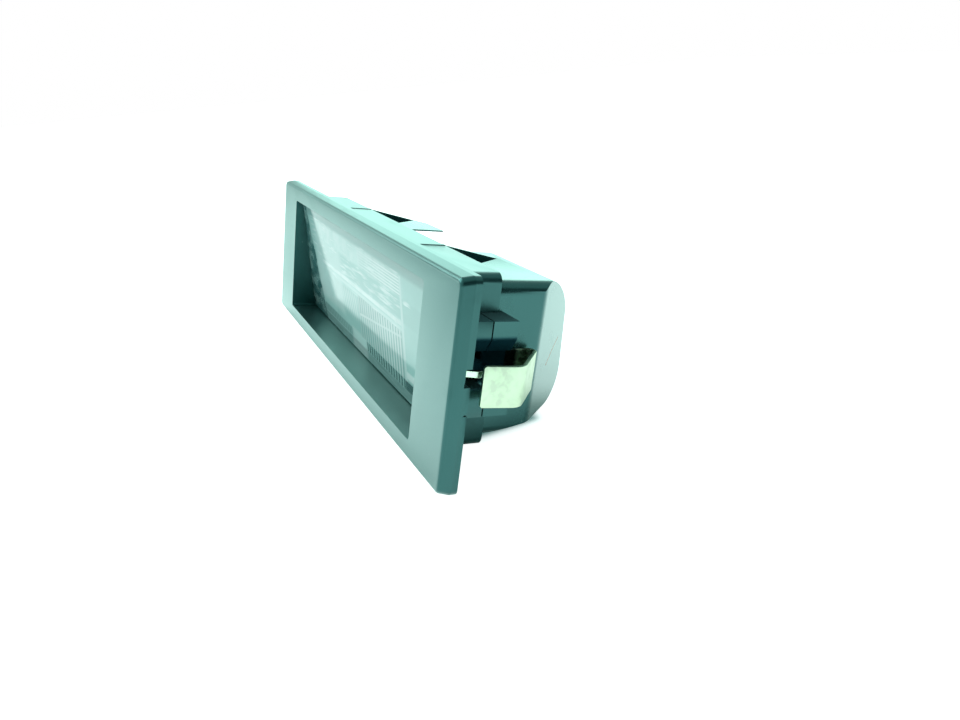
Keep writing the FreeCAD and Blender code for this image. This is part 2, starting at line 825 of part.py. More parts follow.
def strip_wire(points, radii):
    """A path in the XY plane with straight runs joined by tangent arcs."""
    edges = []
    start = points[0]
    for number in range(1, len(points) - 1):
        corner = points[number]
        back = (points[number - 1] - corner).normalize()
        ahead = (points[number + 1] - corner).normalize()
        half_angle = back.getAngle(ahead) / 2
        cut = radii[number - 1] / math.tan(half_angle)
        first = corner + back * cut
        last = corner + ahead * cut
        middle_way = (back + ahead).normalize()
        centre = corner + middle_way * (radii[number - 1] / math.sin(half_angle))
        middle = centre - middle_way * radii[number - 1]
        edges.append(Part.LineSegment(start, first).toShape())
        edges.append(Part.Arc(first, middle, last).toShape())
        start = last
    edges.append(Part.LineSegment(start, points[-1]).toShape())
    return Part.Wire(edges)


def strip_solid(points, radii, z_low, z_high):
    """A bent strip of the clip's thickness, between two heights, along a path of its middle."""
    at_height = [Vector(x, y, z_low) for x, y in points]
    wire = strip_wire(at_height, radii)
    half = clip_thickness / 2
    start = at_height[0]
    way = (at_height[1] - start).normalize()
    across = Vector(-way.y, way.x, 0)
    section = polygon([start + across * half, start - across * half,
                       start - across * half + Vector(0, 0, z_high - z_low),
                       start + across * half + Vector(0, 0, z_high - z_low)])
    return wire.makePipeShell([section.OuterWire], True, False, 1)


def spring_clip():
    """The bent steel clip: inner leg, rear bend, ramp, flat outer leg and a narrow tongue."""
    leg_path = [(inner_leg_x, post_split + post_slit), (inner_leg_x, clip_corner_y),
                (end_x + clip_ramp_out, clip_ramp_y), (end_x + clip_tip_out, clip_tip_y)]
    leg = strip_solid(leg_path, [clip_bend, clip_ramp_bend], clip_low, clip_top)
    tongue_x = post_x - tongue_inset
    tongue_path = [(inner_leg_x, post_rear), (inner_leg_x, post_split - tongue_lead),
                   (tongue_x, tongue_bend_y), (tongue_x, tongue_tip_y)]
    tongue = strip_solid(tongue_path, [clip_thickness, clip_thickness], tongue_low,
                         tongue_low + tongue_width)
    return leg.fuse(tongue).removeSplitter()


def build_nodes():
    """Every node's shape by name."""
    nodes = {
        "front_frame": front_frame(),
        "lens": lens(),
        "lens_seal": lens_seal(),
        "rear_housing": rear_housing(),
        "housing_seal": housing_seal(),
        "reflector": reflector(),
        "spring_clip": spring_clip(),
        "bulb_glass": bulb_glass(),
        "bulb_filament": bulb_filament(),
        "contact_carrier": contact_carrier(),
        "contact_near": contact_near(),
        "contact_far": contact_far(),
    }
    for end, side in (("near", 1), ("far", -1)):
        nodes["bulb_cap_" + end] = bulb_cap(side)
        nodes["bulb_lead_" + end] = bulb_lead(side)
    for number, x in enumerate(rivet_places, start=1):
        nodes["contact_rivet_%d" % number] = contact_rivet(x)
    return nodes


def main():
    """Build every node and write it as a STEP file."""
    os.makedirs("parts", exist_ok=True)
    for name, shape in build_nodes().items():
        shape.exportStep(os.path.join("parts", name + ".step"))
        print(name, "solids", len(shape.Solids), "valid", shape.isValid(),
              "volume %.2f" % shape.Volume)


main()
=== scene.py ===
"""Dresses a snap-in number plate lamp: black plastic frame and housing, an inclined fluted lens,
a festoon bulb in a bright reflector, brass contacts and a bent steel spring clip.

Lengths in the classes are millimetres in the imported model's frame: X runs along the lamp with
the clip at +X, the front of the frame faces -Y and +Z is up.
"""
import json
import logging
import math
from collections.abc import Callable, Iterator
from contextlib import contextmanager
from dataclasses import dataclass, field
from enum import Enum
from functools import reduce

import bmesh
import bpy
import numpy as np
from bpy.types import Material, Mesh, Node, NodeSocket as Socket, NodeTree, Object
from mathutils import Matrix, Vector


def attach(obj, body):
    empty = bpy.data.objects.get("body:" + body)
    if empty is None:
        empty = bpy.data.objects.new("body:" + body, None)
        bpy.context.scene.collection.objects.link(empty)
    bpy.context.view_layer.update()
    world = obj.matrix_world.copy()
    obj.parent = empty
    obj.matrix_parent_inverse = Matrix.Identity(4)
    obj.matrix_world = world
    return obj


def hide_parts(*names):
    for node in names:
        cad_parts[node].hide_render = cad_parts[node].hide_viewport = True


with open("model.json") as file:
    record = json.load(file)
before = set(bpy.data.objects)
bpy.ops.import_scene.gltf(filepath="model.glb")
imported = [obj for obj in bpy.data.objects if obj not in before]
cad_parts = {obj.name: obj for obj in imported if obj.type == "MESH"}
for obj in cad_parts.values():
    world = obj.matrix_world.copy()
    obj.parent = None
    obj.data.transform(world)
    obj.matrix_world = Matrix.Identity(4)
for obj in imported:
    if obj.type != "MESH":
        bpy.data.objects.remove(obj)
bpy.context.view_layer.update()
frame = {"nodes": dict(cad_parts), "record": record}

log = logging.getLogger("number_plate_lamp")

MM = 0.001
MERGED = 1e-7
PACKED_MERGED = 2e-6
FLAT_ANGLE = 0.6
WIRE_ANGLE = 50.0
LENS_LEAN = 0.17
WINDOW_TOP = 10.3
BOX_SIDES = tuple((axis + " From", axis + " To") for axis in "XYZ")
Colour = tuple[float, float, float]
Point = tuple[float, float, float]
Range = tuple[float, float]
Span = tuple[float, float, float]
Patch = tuple[Span, Span, float]
Box = tuple[Range, Range, Range]
Groups = dict[str, NodeTree]
WHITE: Colour = (1.0, 1.0, 1.0)


class Close(Enum):
    """How the ends of a grid's rows meet."""

    OPEN = 0
    ROUND = 1


def linked(name: str, data: bpy.types.ID) -> Object:
    """A new object for some data, in the scene."""
    obj = bpy.data.objects.new(name, data)
    bpy.context.scene.collection.objects.link(obj)
    return obj


@contextmanager
def edited(mesh: Mesh) -> Iterator[bmesh.types.BMesh]:
    """A mesh opened for editing, which is written back at the end."""
    work = bmesh.new()
    work.from_mesh(mesh)
    yield work
    work.to_mesh(mesh)
    work.free()


def smoothed(mesh: Mesh, angle: float) -> None:
    """Shade a mesh smooth, with edges that turn by more than an angle in degrees sharp."""
    mesh.shade_smooth()
    mesh.set_sharp_from_angle(angle=math.radians(angle))


def lean_back(z: np.ndarray) -> np.ndarray:
    """How far the inclined lens stands back at height z from its place at the window's top."""
    return LENS_LEAN * (WINDOW_TOP - z)


def object_from(name: str, points: np.ndarray, faces: list[np.ndarray]) -> Object:
    """Make a mesh object from points and lists of faces.

    Args:
        name: The object's name.
        points: An n by 3 array in millimetres.
        faces: Index arrays, each with rows of the same number of corners.

    Returns:
        The new object, linked to the scene, at the origin.
    """
    mesh = bpy.data.meshes.new(name)
    mesh.from_pydata((points * MM).tolist(), [], [row for part in faces for row in part.tolist()])
    return linked(name, mesh)


def unit(vectors: np.ndarray) -> np.ndarray:
    """Vectors of length 1 in the same directions."""
    return vectors / np.linalg.norm(vectors, axis=-1, keepdims=True)


def run_length(line: np.ndarray) -> np.ndarray:
    """Distance along a line of points at each of them."""
    return np.concatenate([[0.0], np.cumsum(np.linalg.norm(np.diff(line, axis=0), axis=1))])


def grid_faces(rows: int, columns: int, around: Close) -> np.ndarray:
    """Quads that join a grid of points row by row.

    Args:
        rows: Number of rows of points.
        columns: Number of points in a row.
        around: Whether the last column joins the first.

    Returns:
        An array with four corner indices a row.
    """
    row = np.arange(rows - 1)[:, None] * columns
    column = np.arange(columns if around is Close.ROUND else columns - 1)[None, :]
    following = (column + 1) % columns
    quads = np.stack([row + column, row + following, row + columns + following,
                      row + columns + column], axis=-1)
    return quads.reshape(-1, 4)


def solid_from(name: str, points: np.ndarray, faces: list[np.ndarray],
               smooth_angle: float = 30.0) -> Object:
    """Make a closed mesh object, with every face turned outwards.

    Args:
        name: The object's name.
        points: An n by 3 array in millimetres.
        faces: Index arrays, each with rows of the same number of corners.
        smooth_angle: Edges that turn by more than this many degrees stay sharp.

    Returns:
        The new object, linked to the scene, at the origin.
    """
    obj = object_from(name, points, faces)
    with edited(obj.data) as work:
        bmesh.ops.remove_doubles(work, verts=work.verts, dist=MERGED)
        bmesh.ops.recalc_face_normals(work, faces=work.faces)
    smoothed(obj.data, smooth_angle)
    return obj


def turned(name: str, profile: np.ndarray, centre: Point, steps: int = 64,
           smooth_angle: float = 30.0) -> Object:
    """Turn a closed profile about an axis along X.

    A point of the profile (x, r) goes to x along the axis and to r cos a and r sin a across it,
    where a runs once round.

    Args:
        name: The object's name.
        profile: Points (x, radius) that start and end on the axis, or close on themselves.
        centre: The axis's x origin, y and z.
        steps: Number of steps round.
        smooth_angle: Edges that turn by more than this stay sharp.

    Returns:
        The new object.
    """
    angle = np.arange(steps) * 2 * math.pi / steps
    x = np.repeat(profile[:, 0:1], steps, axis=1)
    y = profile[:, 1:2] * np.cos(angle)
    z = profile[:, 1:2] * np.sin(angle)
    points = np.stack([x, y, z], axis=-1).reshape(-1, 3) + np.array(centre)
    return solid_from(name, points, [grid_faces(len(profile), steps, Close.ROUND)], smooth_angle)


def swept_wire(name: str, path: np.ndarray, radius: float, steps: int = 10) -> Object:
    """A round wire along a path, closed at both ends.

    Each point of the path carries a circle across its tangent. The circle's first direction is
    the part of a fixed direction that is square to the tangent.

    Args:
        name: The object's name.
        path: Points along the wire.
        radius: The wire's radius.
        steps: Number of steps round the wire.

    Returns:
        The new object.
    """
    tangent = unit(np.gradient(path, axis=0))
    guide = np.array([0.0, 0.3, 1.0])
    across = unit(guide - (tangent @ guide)[:, None] * tangent)
    other = np.cross(tangent, across)
    angle = (np.arange(steps) * 2 * math.pi / steps)[None, :, None]
    ring = across[:, None, :] * np.cos(angle) + other[:, None, :] * np.sin(angle)
    points = (path[:, None, :] + radius * ring).reshape(-1, 3)
    count = len(path)
    points = np.vstack([points, path[:1], path[-1:]])
    column = np.arange(steps)
    following = (column + 1) % steps
    first = np.stack([np.full(steps, count * steps), following, column], axis=1)
    last = np.stack([np.full(steps, count * steps + 1), column + (count - 1) * steps,
                     following + (count - 1) * steps], axis=1)
    return solid_from(name, points, [grid_faces(count, steps, Close.ROUND), first, last],
                      WIRE_ANGLE)


def casting_from(node: str, name: str, edge: float, angle: float = 25.0) -> Object:
    """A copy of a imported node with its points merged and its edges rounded.

    Args:
        node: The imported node's name.
        name: The new object's name.
        edge: Width of the rounding.
        angle: Edges that turn by more than this many degrees are rounded.

    Returns:
        The new object.
    """
    mesh = frame["nodes"][node].data.copy()
    mesh.name = name
    with edited(mesh) as work:
        bmesh.ops.remove_doubles(work, verts=work.verts, dist=PACKED_MERGED)
        bmesh.ops.dissolve_limit(work, angle_limit=math.radians(FLAT_ANGLE), verts=work.verts,
                                 edges=work.edges)
    smoothed(mesh, angle)
    obj = linked(name, mesh)
    bevel = obj.modifiers.new("rounded_edges", "BEVEL")
    bevel.width = edge * MM
    bevel.segments = 2
    bevel.limit_method = "ANGLE"
    bevel.angle_limit = math.radians(angle)
    bevel.harden_normals = True
    bevel.use_clamp_overlap = True
    return obj


class Nodes:
    """Short calls that add and join shader nodes in one tree."""

    def __init__(self, tree: NodeTree) -> None:
        """Keep the tree that the calls work on."""
        self.tree = tree

    def add(self, kind: str, **values: object) -> Node:
        """Add a node.

        Args:
            kind: The node's type name, without ShaderNode.
            **values: Attributes to set, or inputs to set by their name with _ for a space.

        Returns:
            The new node.
        """
        return self.put(self.tree.nodes.new("ShaderNode" + kind), **values)

    def put(self, node: Node, **values: object) -> Node:
        """Set a node's values as add does, and return it."""
        for key, value in values.items():
            if key[0].isupper():
                self.feed(node.inputs[key.replace("_", " ")], value)
            else:
                setattr(node, key, value)
        return node

    def feed(self, socket: Socket, value: object) -> None:
        """Join a socket to an input, or set the input's own value."""
        if isinstance(value, Socket):
            self.tree.links.new(value, socket)
        else:
            socket.default_value = (*value, 1.0) if socket.type == "RGBA" else value

    def fed(self, node: Node, values: tuple) -> Node:
        """Feed a node's first inputs in order."""
        for socket, value in zip(node.inputs, values):
            self.feed(socket, value)
        return node

    def math(self, operation: str, *values: object) -> Socket:
        """A Math node's result for up to three inputs."""
        return self.fed(self.add("Math", operation=operation), values).outputs[0]

    def vector(self, operation: str, *values: object) -> Socket:
        """A Vector Math node's result, which is a number for LENGTH."""
        node = self.fed(self.add("VectorMath", operation=operation), values)
        return node.outputs["Value" if operation == "LENGTH" else "Vector"]

    def mix(self, share: object, first: object, second: object) -> Socket:
        """A colour mix from first to second by a share."""
        node = self.add("Mix", data_type="RGBA")
        for number, value in ((0, share), (6, first), (7, second)):
            self.feed(node.inputs[number], value)
        return node.outputs[2]

    def blend(self, share: object, first: Node, second: Node) -> Node:
        """A mix of two shaders by a share."""
        return self.fed(self.add("MixShader"), (share, first.outputs[0], second.outputs[0]))

    def ranged(self, value: object, low: float, high: float, to_low: float = 0.0,
               to_high: float = 1.0) -> Socket:
        """A value moved from one range to another, smoothly and without leaving it."""
        node = self.add("MapRange", interpolation_type="SMOOTHSTEP")
        return self.fed(node, (value, low, high, to_low, to_high)).outputs[0]

    def band(self, value: object, low: float, high: float, soft: float) -> Socket:
        """1 between low and high, with ends that fall over a soft width."""
        rise = self.ranged(value, low - soft / 2, low + soft / 2)
        fall = self.ranged(value, high - soft / 2, high + soft / 2, 1.0, 0.0)
        return self.product(rise, fall)

    def comb(self, value: object, pitch: float) -> Socket:
        """Lines of a pitch: half of 1 plus the cosine of the value's phase."""
        wave = self.math("COSINE", self.math("MULTIPLY", value, 2 * math.pi / pitch))
        return self.math("MULTIPLY_ADD", wave, 0.5, 0.5)

    def product(self, *values: object) -> Socket:
        """The product of several values."""
        return reduce(lambda result, value: self.math("MULTIPLY", result, value), values)

    def highest(self, *values: object) -> Socket:
        """The largest of several values."""
        return reduce(lambda result, value: self.math("MAXIMUM", result, value), values)

    def rest(self, value: object) -> Socket:
        """1 minus a value."""
        return self.math("SUBTRACT", 1.0, value)

    def noise(self, place: object, scale: object, detail: float,
              roughness: float = 0.5) -> Socket:
        """A noise's value from 0 to 1 at a place."""
        return self.add("TexNoise", Vector=place, Scale=scale, Detail=detail,
                        Roughness=roughness).outputs["Fac"]

    def place(self) -> Socket:
        """The shaded point in the part's own frame."""
        return self.add("TexCoord").outputs["Object"]

    def place_mm(self) -> tuple[Socket, Socket, Socket]:
        """X, Y and Z of the shaded point in millimetres."""
        parts = self.add("SeparateXYZ",
                         Vector=self.vector("MULTIPLY", self.place(), (1 / MM,) * 3))
        return parts.outputs["X"], parts.outputs["Y"], parts.outputs["Z"]

    def bump(self, height: Socket, strength: float, distance: float) -> Socket:
        """A normal that a height turns."""
        return self.add("Bump", Height=height, Strength=strength, Distance=distance).outputs[0]

    def grouped(self, tree: NodeTree, **values: float) -> bpy.types.bpy_prop_collection:
        """The outputs of a node group that is placed here with its own values."""
        return self.add("Group", node_tree=tree, **values).outputs

    def sight(self, path: Node) -> Socket:
        """1 for rays of sight, mirrors and clear pieces, and 0 for plain light."""
        return self.highest(*(path.outputs[f"Is {kind} Ray"]
                              for kind in ("Camera", "Glossy", "Transmission")))


class Group(Nodes):
    """A new shader node group with named number sockets."""

    def __init__(self, name: str, inputs: dict[str, float]) -> None:
        """Start the group.

        Args:
            name: The group's name.
            inputs: Input names with their usual values.
        """
        super().__init__(bpy.data.node_groups.new(name, "ShaderNodeTree"))
        for label, value in inputs.items():
            self.socket(label, "INPUT").default_value = value
        self.source = self.tree.nodes.new("NodeGroupInput")

    def socket(self, label: str, side: str) -> bpy.types.NodeTreeInterfaceSocket:
        """A new number socket on one side of the group."""
        return self.tree.interface.new_socket(label, in_out=side, socket_type="NodeSocketFloat")

    def given(self, label: str) -> Socket:
        """One of the group's inputs."""
        return self.source.outputs[label]

    def done(self, **values: Socket) -> NodeTree:
        """Give the group its outputs by name, and return its tree."""
        for label in values:
            self.socket(label, "OUTPUT")
        self.put(self.tree.nodes.new("NodeGroupOutput"), **values)
        return self.tree


class Finish(Nodes):
    """A new material with one Principled shader."""

    def __init__(self, name: str) -> None:
        """Start the material."""
        self.material = bpy.data.materials.new(name)
        self.material.use_nodes = True
        self.material.node_tree.nodes.clear()
        super().__init__(self.material.node_tree)
        self.shader = self.add("BsdfPrincipled")

    def done(self, shader: Node) -> Material:
        """Let a shader make the surface, and return the material."""
        self.add("OutputMaterial", Surface=shader.outputs[0])
        return self.material


def moulded_skin_group() -> NodeTree:
    """Fine erosion grain and broad unevenness of moulded plastic.

    Height is a small noise plus a wide slow one. Tone is the slow noise alone.
    """
    group = Group("moulded_skin", {"Grain Scale": 9000.0, "Wave Scale": 120.0, "Wave Share": 0.6})
    place = group.place()
    wave = group.noise(place, group.given("Wave Scale"), 2.0)
    height = group.math("ADD", group.noise(place, group.given("Grain Scale"), 3.0),
                        group.product(wave, group.given("Wave Share")))
    return group.done(Height=height, Tone=wave)


def handling_group() -> NodeTree:
    """Dust specks and faint rubs from handling, as masks from 0 to 1."""
    group = Group("handling", {"Speck Scale": 1400.0, "Speck Cut": 0.80, "Rub Scale": 260.0})
    place = group.place()
    specks = group.math("SUBTRACT", group.noise(place, group.given("Speck Scale"), 1.0),
                        group.given("Speck Cut"))
    stretched = group.add("Mapping", Vector=place, Scale=(0.25, 1.0, 1.0)).outputs[0]
    rubs = group.noise(stretched, group.given("Rub Scale"), 4.0, 0.7)
    return group.done(Specks=group.ranged(specks, 0.0, 0.04), Rubs=group.ranged(rubs, 0.55, 0.75))


def rolled_metal_group() -> NodeTree:
    """Rolling lines and faint stains of thin sheet metal.

    Lines is a noise stretched along X and Y, and Stains a slow noise with soft edges.
    """
    group = Group("rolled_metal", {"Line Scale": 900.0, "Stain Scale": 380.0})
    place = group.place()
    stretched = group.add("Mapping", Vector=place, Scale=(0.08, 0.08, 1.0)).outputs[0]
    stains = group.noise(place, group.given("Stain Scale"), 4.0, 0.6)
    return group.done(Lines=group.noise(stretched, group.given("Line Scale"), 3.0),
                      Stains=group.ranged(stains, 0.45, 0.7))


def box_mask_group() -> NodeTree:
    """A soft-edged box in the part's own millimetres, 1 inside and 0 outside."""
    group = Group("box_mask", dict.fromkeys(sum(BOX_SIDES, ()), 0.0) | {"Soft": 0.1})
    inside = []
    for (start, end), value in zip(BOX_SIDES, group.place_mm()):
        above = group.math("SUBTRACT", value, group.given(start))
        below = group.math("SUBTRACT", group.given(end), value)
        depth = group.math("DIVIDE", group.math("MINIMUM", above, below), group.given("Soft"))
        inside.append(group.ranged(depth, -0.5, 0.5))
    return group.done(Mask=group.product(*inside))


@dataclass(frozen=True)
class FlutePaintedLight:
    """The milky lens's painted light and shade, as it lies on the lens's X and Z.

    A patch is a soft rectangle: from, to and softness along X, the same along Z, and a share.
    Light is painted light: highlights on the crests of the flat flutes above, the bar's crease and
    the crests of the upright flutes below, a glow, silky streaks and haze, and painted reflections
    of the bulb in leaf shapes. Dark is painted shade between the crests, in the gap under the
    reflector's edge, on the rim and in bands at the top and lower down, with the glued border at
    the far end.
    """

    upright_pitch: float = 1.1
    slanted_pitch: float = 1.15
    flat_pitch: float = 0.45
    slant: float = 0.22
    crest_power: float = 1.6
    right: Patch = ((-0.4, 19.6, 0.4), (-6.9, 0.1, 0.25), 1.0)
    flat: Patch = ((1.5, 20.0, 1.2), (5.1, 8.0, 0.5), 1.0)
    glow: Patch = ((-24.0, 20.2, 3.0), (5.0, 8.2, 0.8), 1.0)
    crease: Patch = ((-21.0, 20.2, 3.0), (0.85, 1.6, 0.4), 1.0)
    second: Patch = ((-20.0, 20.0, 3.0), (0.1, 0.7, 0.3), 0.5)
    left: Patch = ((-14.5, -1.0, 2.0), (-4.6, -0.4, 1.6), 0.42)
    upright: Patch = ((19.7, 20.5, 0.35), (-7.0, 8.1, 0.5), 0.5)
    strip: Patch = ((20.3, 24.6, 0.4), (-6.5, -5.4, 0.4), 0.75)
    silk: Patch = ((-27.0, 19.8, 2.0), (-0.2, 8.4, 0.5), 0.8)
    blurred: Patch = ((-5.5, 2.4, 1.6), (-10.2, -6.6, 0.8), 0.3)
    haze: Patch = ((-25.0, -9.0, 3.0), (-5.6, 5.4, 1.6), 0.4)
    open_gap: Patch = ((2.0, 23.8, 0.6), (-8.5, -6.95, 0.3), 1.0)
    far_gap: Patch = ((-40.0, -5.0, 2.0), (-8.4, -6.9, 0.5), 1.0)
    lower: Patch = ((-14.0, 0.0, 1.5), (-7.0, -0.3, 0.6), 0.14)
    rim: Span = (-12.0, -8.5, 0.25)
    top: Span = (8.2, 12.0, 0.7)
    top_share: float = 0.24
    shade: Span = (1.6, 5.0, 0.6)
    shade_share: float = 0.06
    ground_share: float = 0.3
    valley_share: float = 0.2
    diagonal: Patch = ((0.0, 19.3, 1.0), (-0.2, 0.2, 0.2), 0.55)
    diagonal_start: float = -3.0
    diagonal_slope: float = 0.116
    border_x: float = -25.4
    border_slope: float = 0.4
    border_rag: float = 1.6
    leaves: tuple[tuple[float, float, float, float], ...] = (
        (15.0, 4.5, 5.2, 0.5), (13.6, 2.8, 4.4, 0.6), (-7.5, 2.6, 2.6, 0.7), (22.3, 4.6, 1.8, 0.5))

    def leaf(self, nodes: Nodes, place: Socket, size: tuple[float, ...],
             streak: Socket) -> Socket:
        """A painted reflection of the bulb: an ellipse (centre X and Z, half X and Z) that the
        streaks break up.
        """
        x, z, half_x, half_z = size
        away = nodes.vector("SUBTRACT", place, (x, 0.0, z))
        away = nodes.vector("LENGTH", nodes.vector("DIVIDE", away, (half_x, 1.0, half_z)))
        return nodes.product(nodes.ranged(nodes.product(away, away), 0.2, 1.0, 0.8, 0.0),
                             nodes.ranged(streak, 0.42, 0.56))

    def group(self) -> NodeTree:
        """Build the group, with the masks Light of painted light and Dark of painted shade."""
        nodes = Group("flute_painted_light", {})
        x, _, z = nodes.place_mm()
        place = nodes.add("CombineXYZ", X=x, Z=z).outputs[0]

        def patch(sides: Patch, *shares: object) -> Socket:
            """A patch's mask times its share and other ones."""
            return nodes.product(nodes.band(x, *sides[0]), nodes.band(z, *sides[1]), sides[2],
                                 *shares)

        cloud = nodes.noise(place, 0.35, 4.0)
        streak = nodes.noise(nodes.vector("MULTIPLY", place, (0.12, 1.0, 1.3)), 1.6, 5.0)
        blobs = nodes.noise(nodes.vector("MULTIPLY", place, (0.5, 1.0, 1.0)), 0.55, 1.5)
        painted_crest_light = nodes.math("POWER", nodes.comb(x, self.upright_pitch), self.crest_power)
        slanted = nodes.comb(nodes.math("MULTIPLY_ADD", z, self.slant, x), self.slanted_pitch)
        ridges = nodes.comb(z, self.flat_pitch)
        right = patch(self.right)
        fall = nodes.math("MULTIPLY_ADD", x, -self.diagonal_slope,
                          nodes.math("SUBTRACT", z, self.diagonal_start))
        diagonal = nodes.product(nodes.band(x, *self.diagonal[0]),
                                 nodes.band(fall, *self.diagonal[1]), self.diagonal[2])
        # painted light: highlights on the flutes, the crease and the streaks, and the bulb's
        # painted reflections
        light = nodes.highest(
            patch(self.flat, ridges, nodes.ranged(x, 0.0, 14.0, 0.5, 1.0)),
            patch(self.glow, nodes.ranged(cloud, 0.3, 0.7, 0.25, 0.6)),
            patch(self.crease, nodes.ranged(cloud, 0.3, 0.6, 0.65, 1.0)),
            patch(self.second), patch(self.left, slanted), diagonal, patch(self.upright),
            patch(self.strip), patch(self.haze), patch(self.blurred),
            patch(self.silk, nodes.ranged(streak, 0.45, 0.7)),
            nodes.product(right, painted_crest_light, nodes.ranged(x, -2.0, 15.0, 0.35, 0.85)),
            *(self.leaf(nodes, place, size, streak) for size in self.leaves))
        border = nodes.math("MULTIPLY_ADD", z, -self.border_slope,
                            nodes.math("SUBTRACT", self.border_x, x))
        ragged = nodes.math("MULTIPLY_ADD", nodes.math("SUBTRACT", cloud, 0.5), self.border_rag,
                            border)
        glued = nodes.product(nodes.ranged(ragged, -0.5, 0.9),
                              nodes.ranged(blobs, 0.36, 0.62, 0.62, 1.0))
        crests = nodes.product(painted_crest_light, nodes.band(x, 0.0, 19.7, 0.3))
        # painted shade between the crests, in the gaps, on the rim and in bands, and the glued
        # border
        dark = nodes.highest(
            glued, nodes.product(right, self.ground_share), patch(self.lower),
            patch(self.open_gap, nodes.math("MULTIPLY_ADD", crests, -0.75, 0.95)),
            patch(self.far_gap, nodes.math("MULTIPLY_ADD", slanted, -0.25, 0.6)),
            patch(self.flat, nodes.rest(ridges), self.valley_share),
            nodes.product(nodes.band(z, *self.rim), nodes.ranged(streak, 0.3, 0.7, 0.62, 0.45)),
            nodes.product(nodes.band(z, *self.top), self.top_share),
            nodes.product(nodes.band(z, *self.shade), self.shade_share))
        return nodes.done(Light=nodes.product(light, nodes.rest(glued)), Dark=dark)


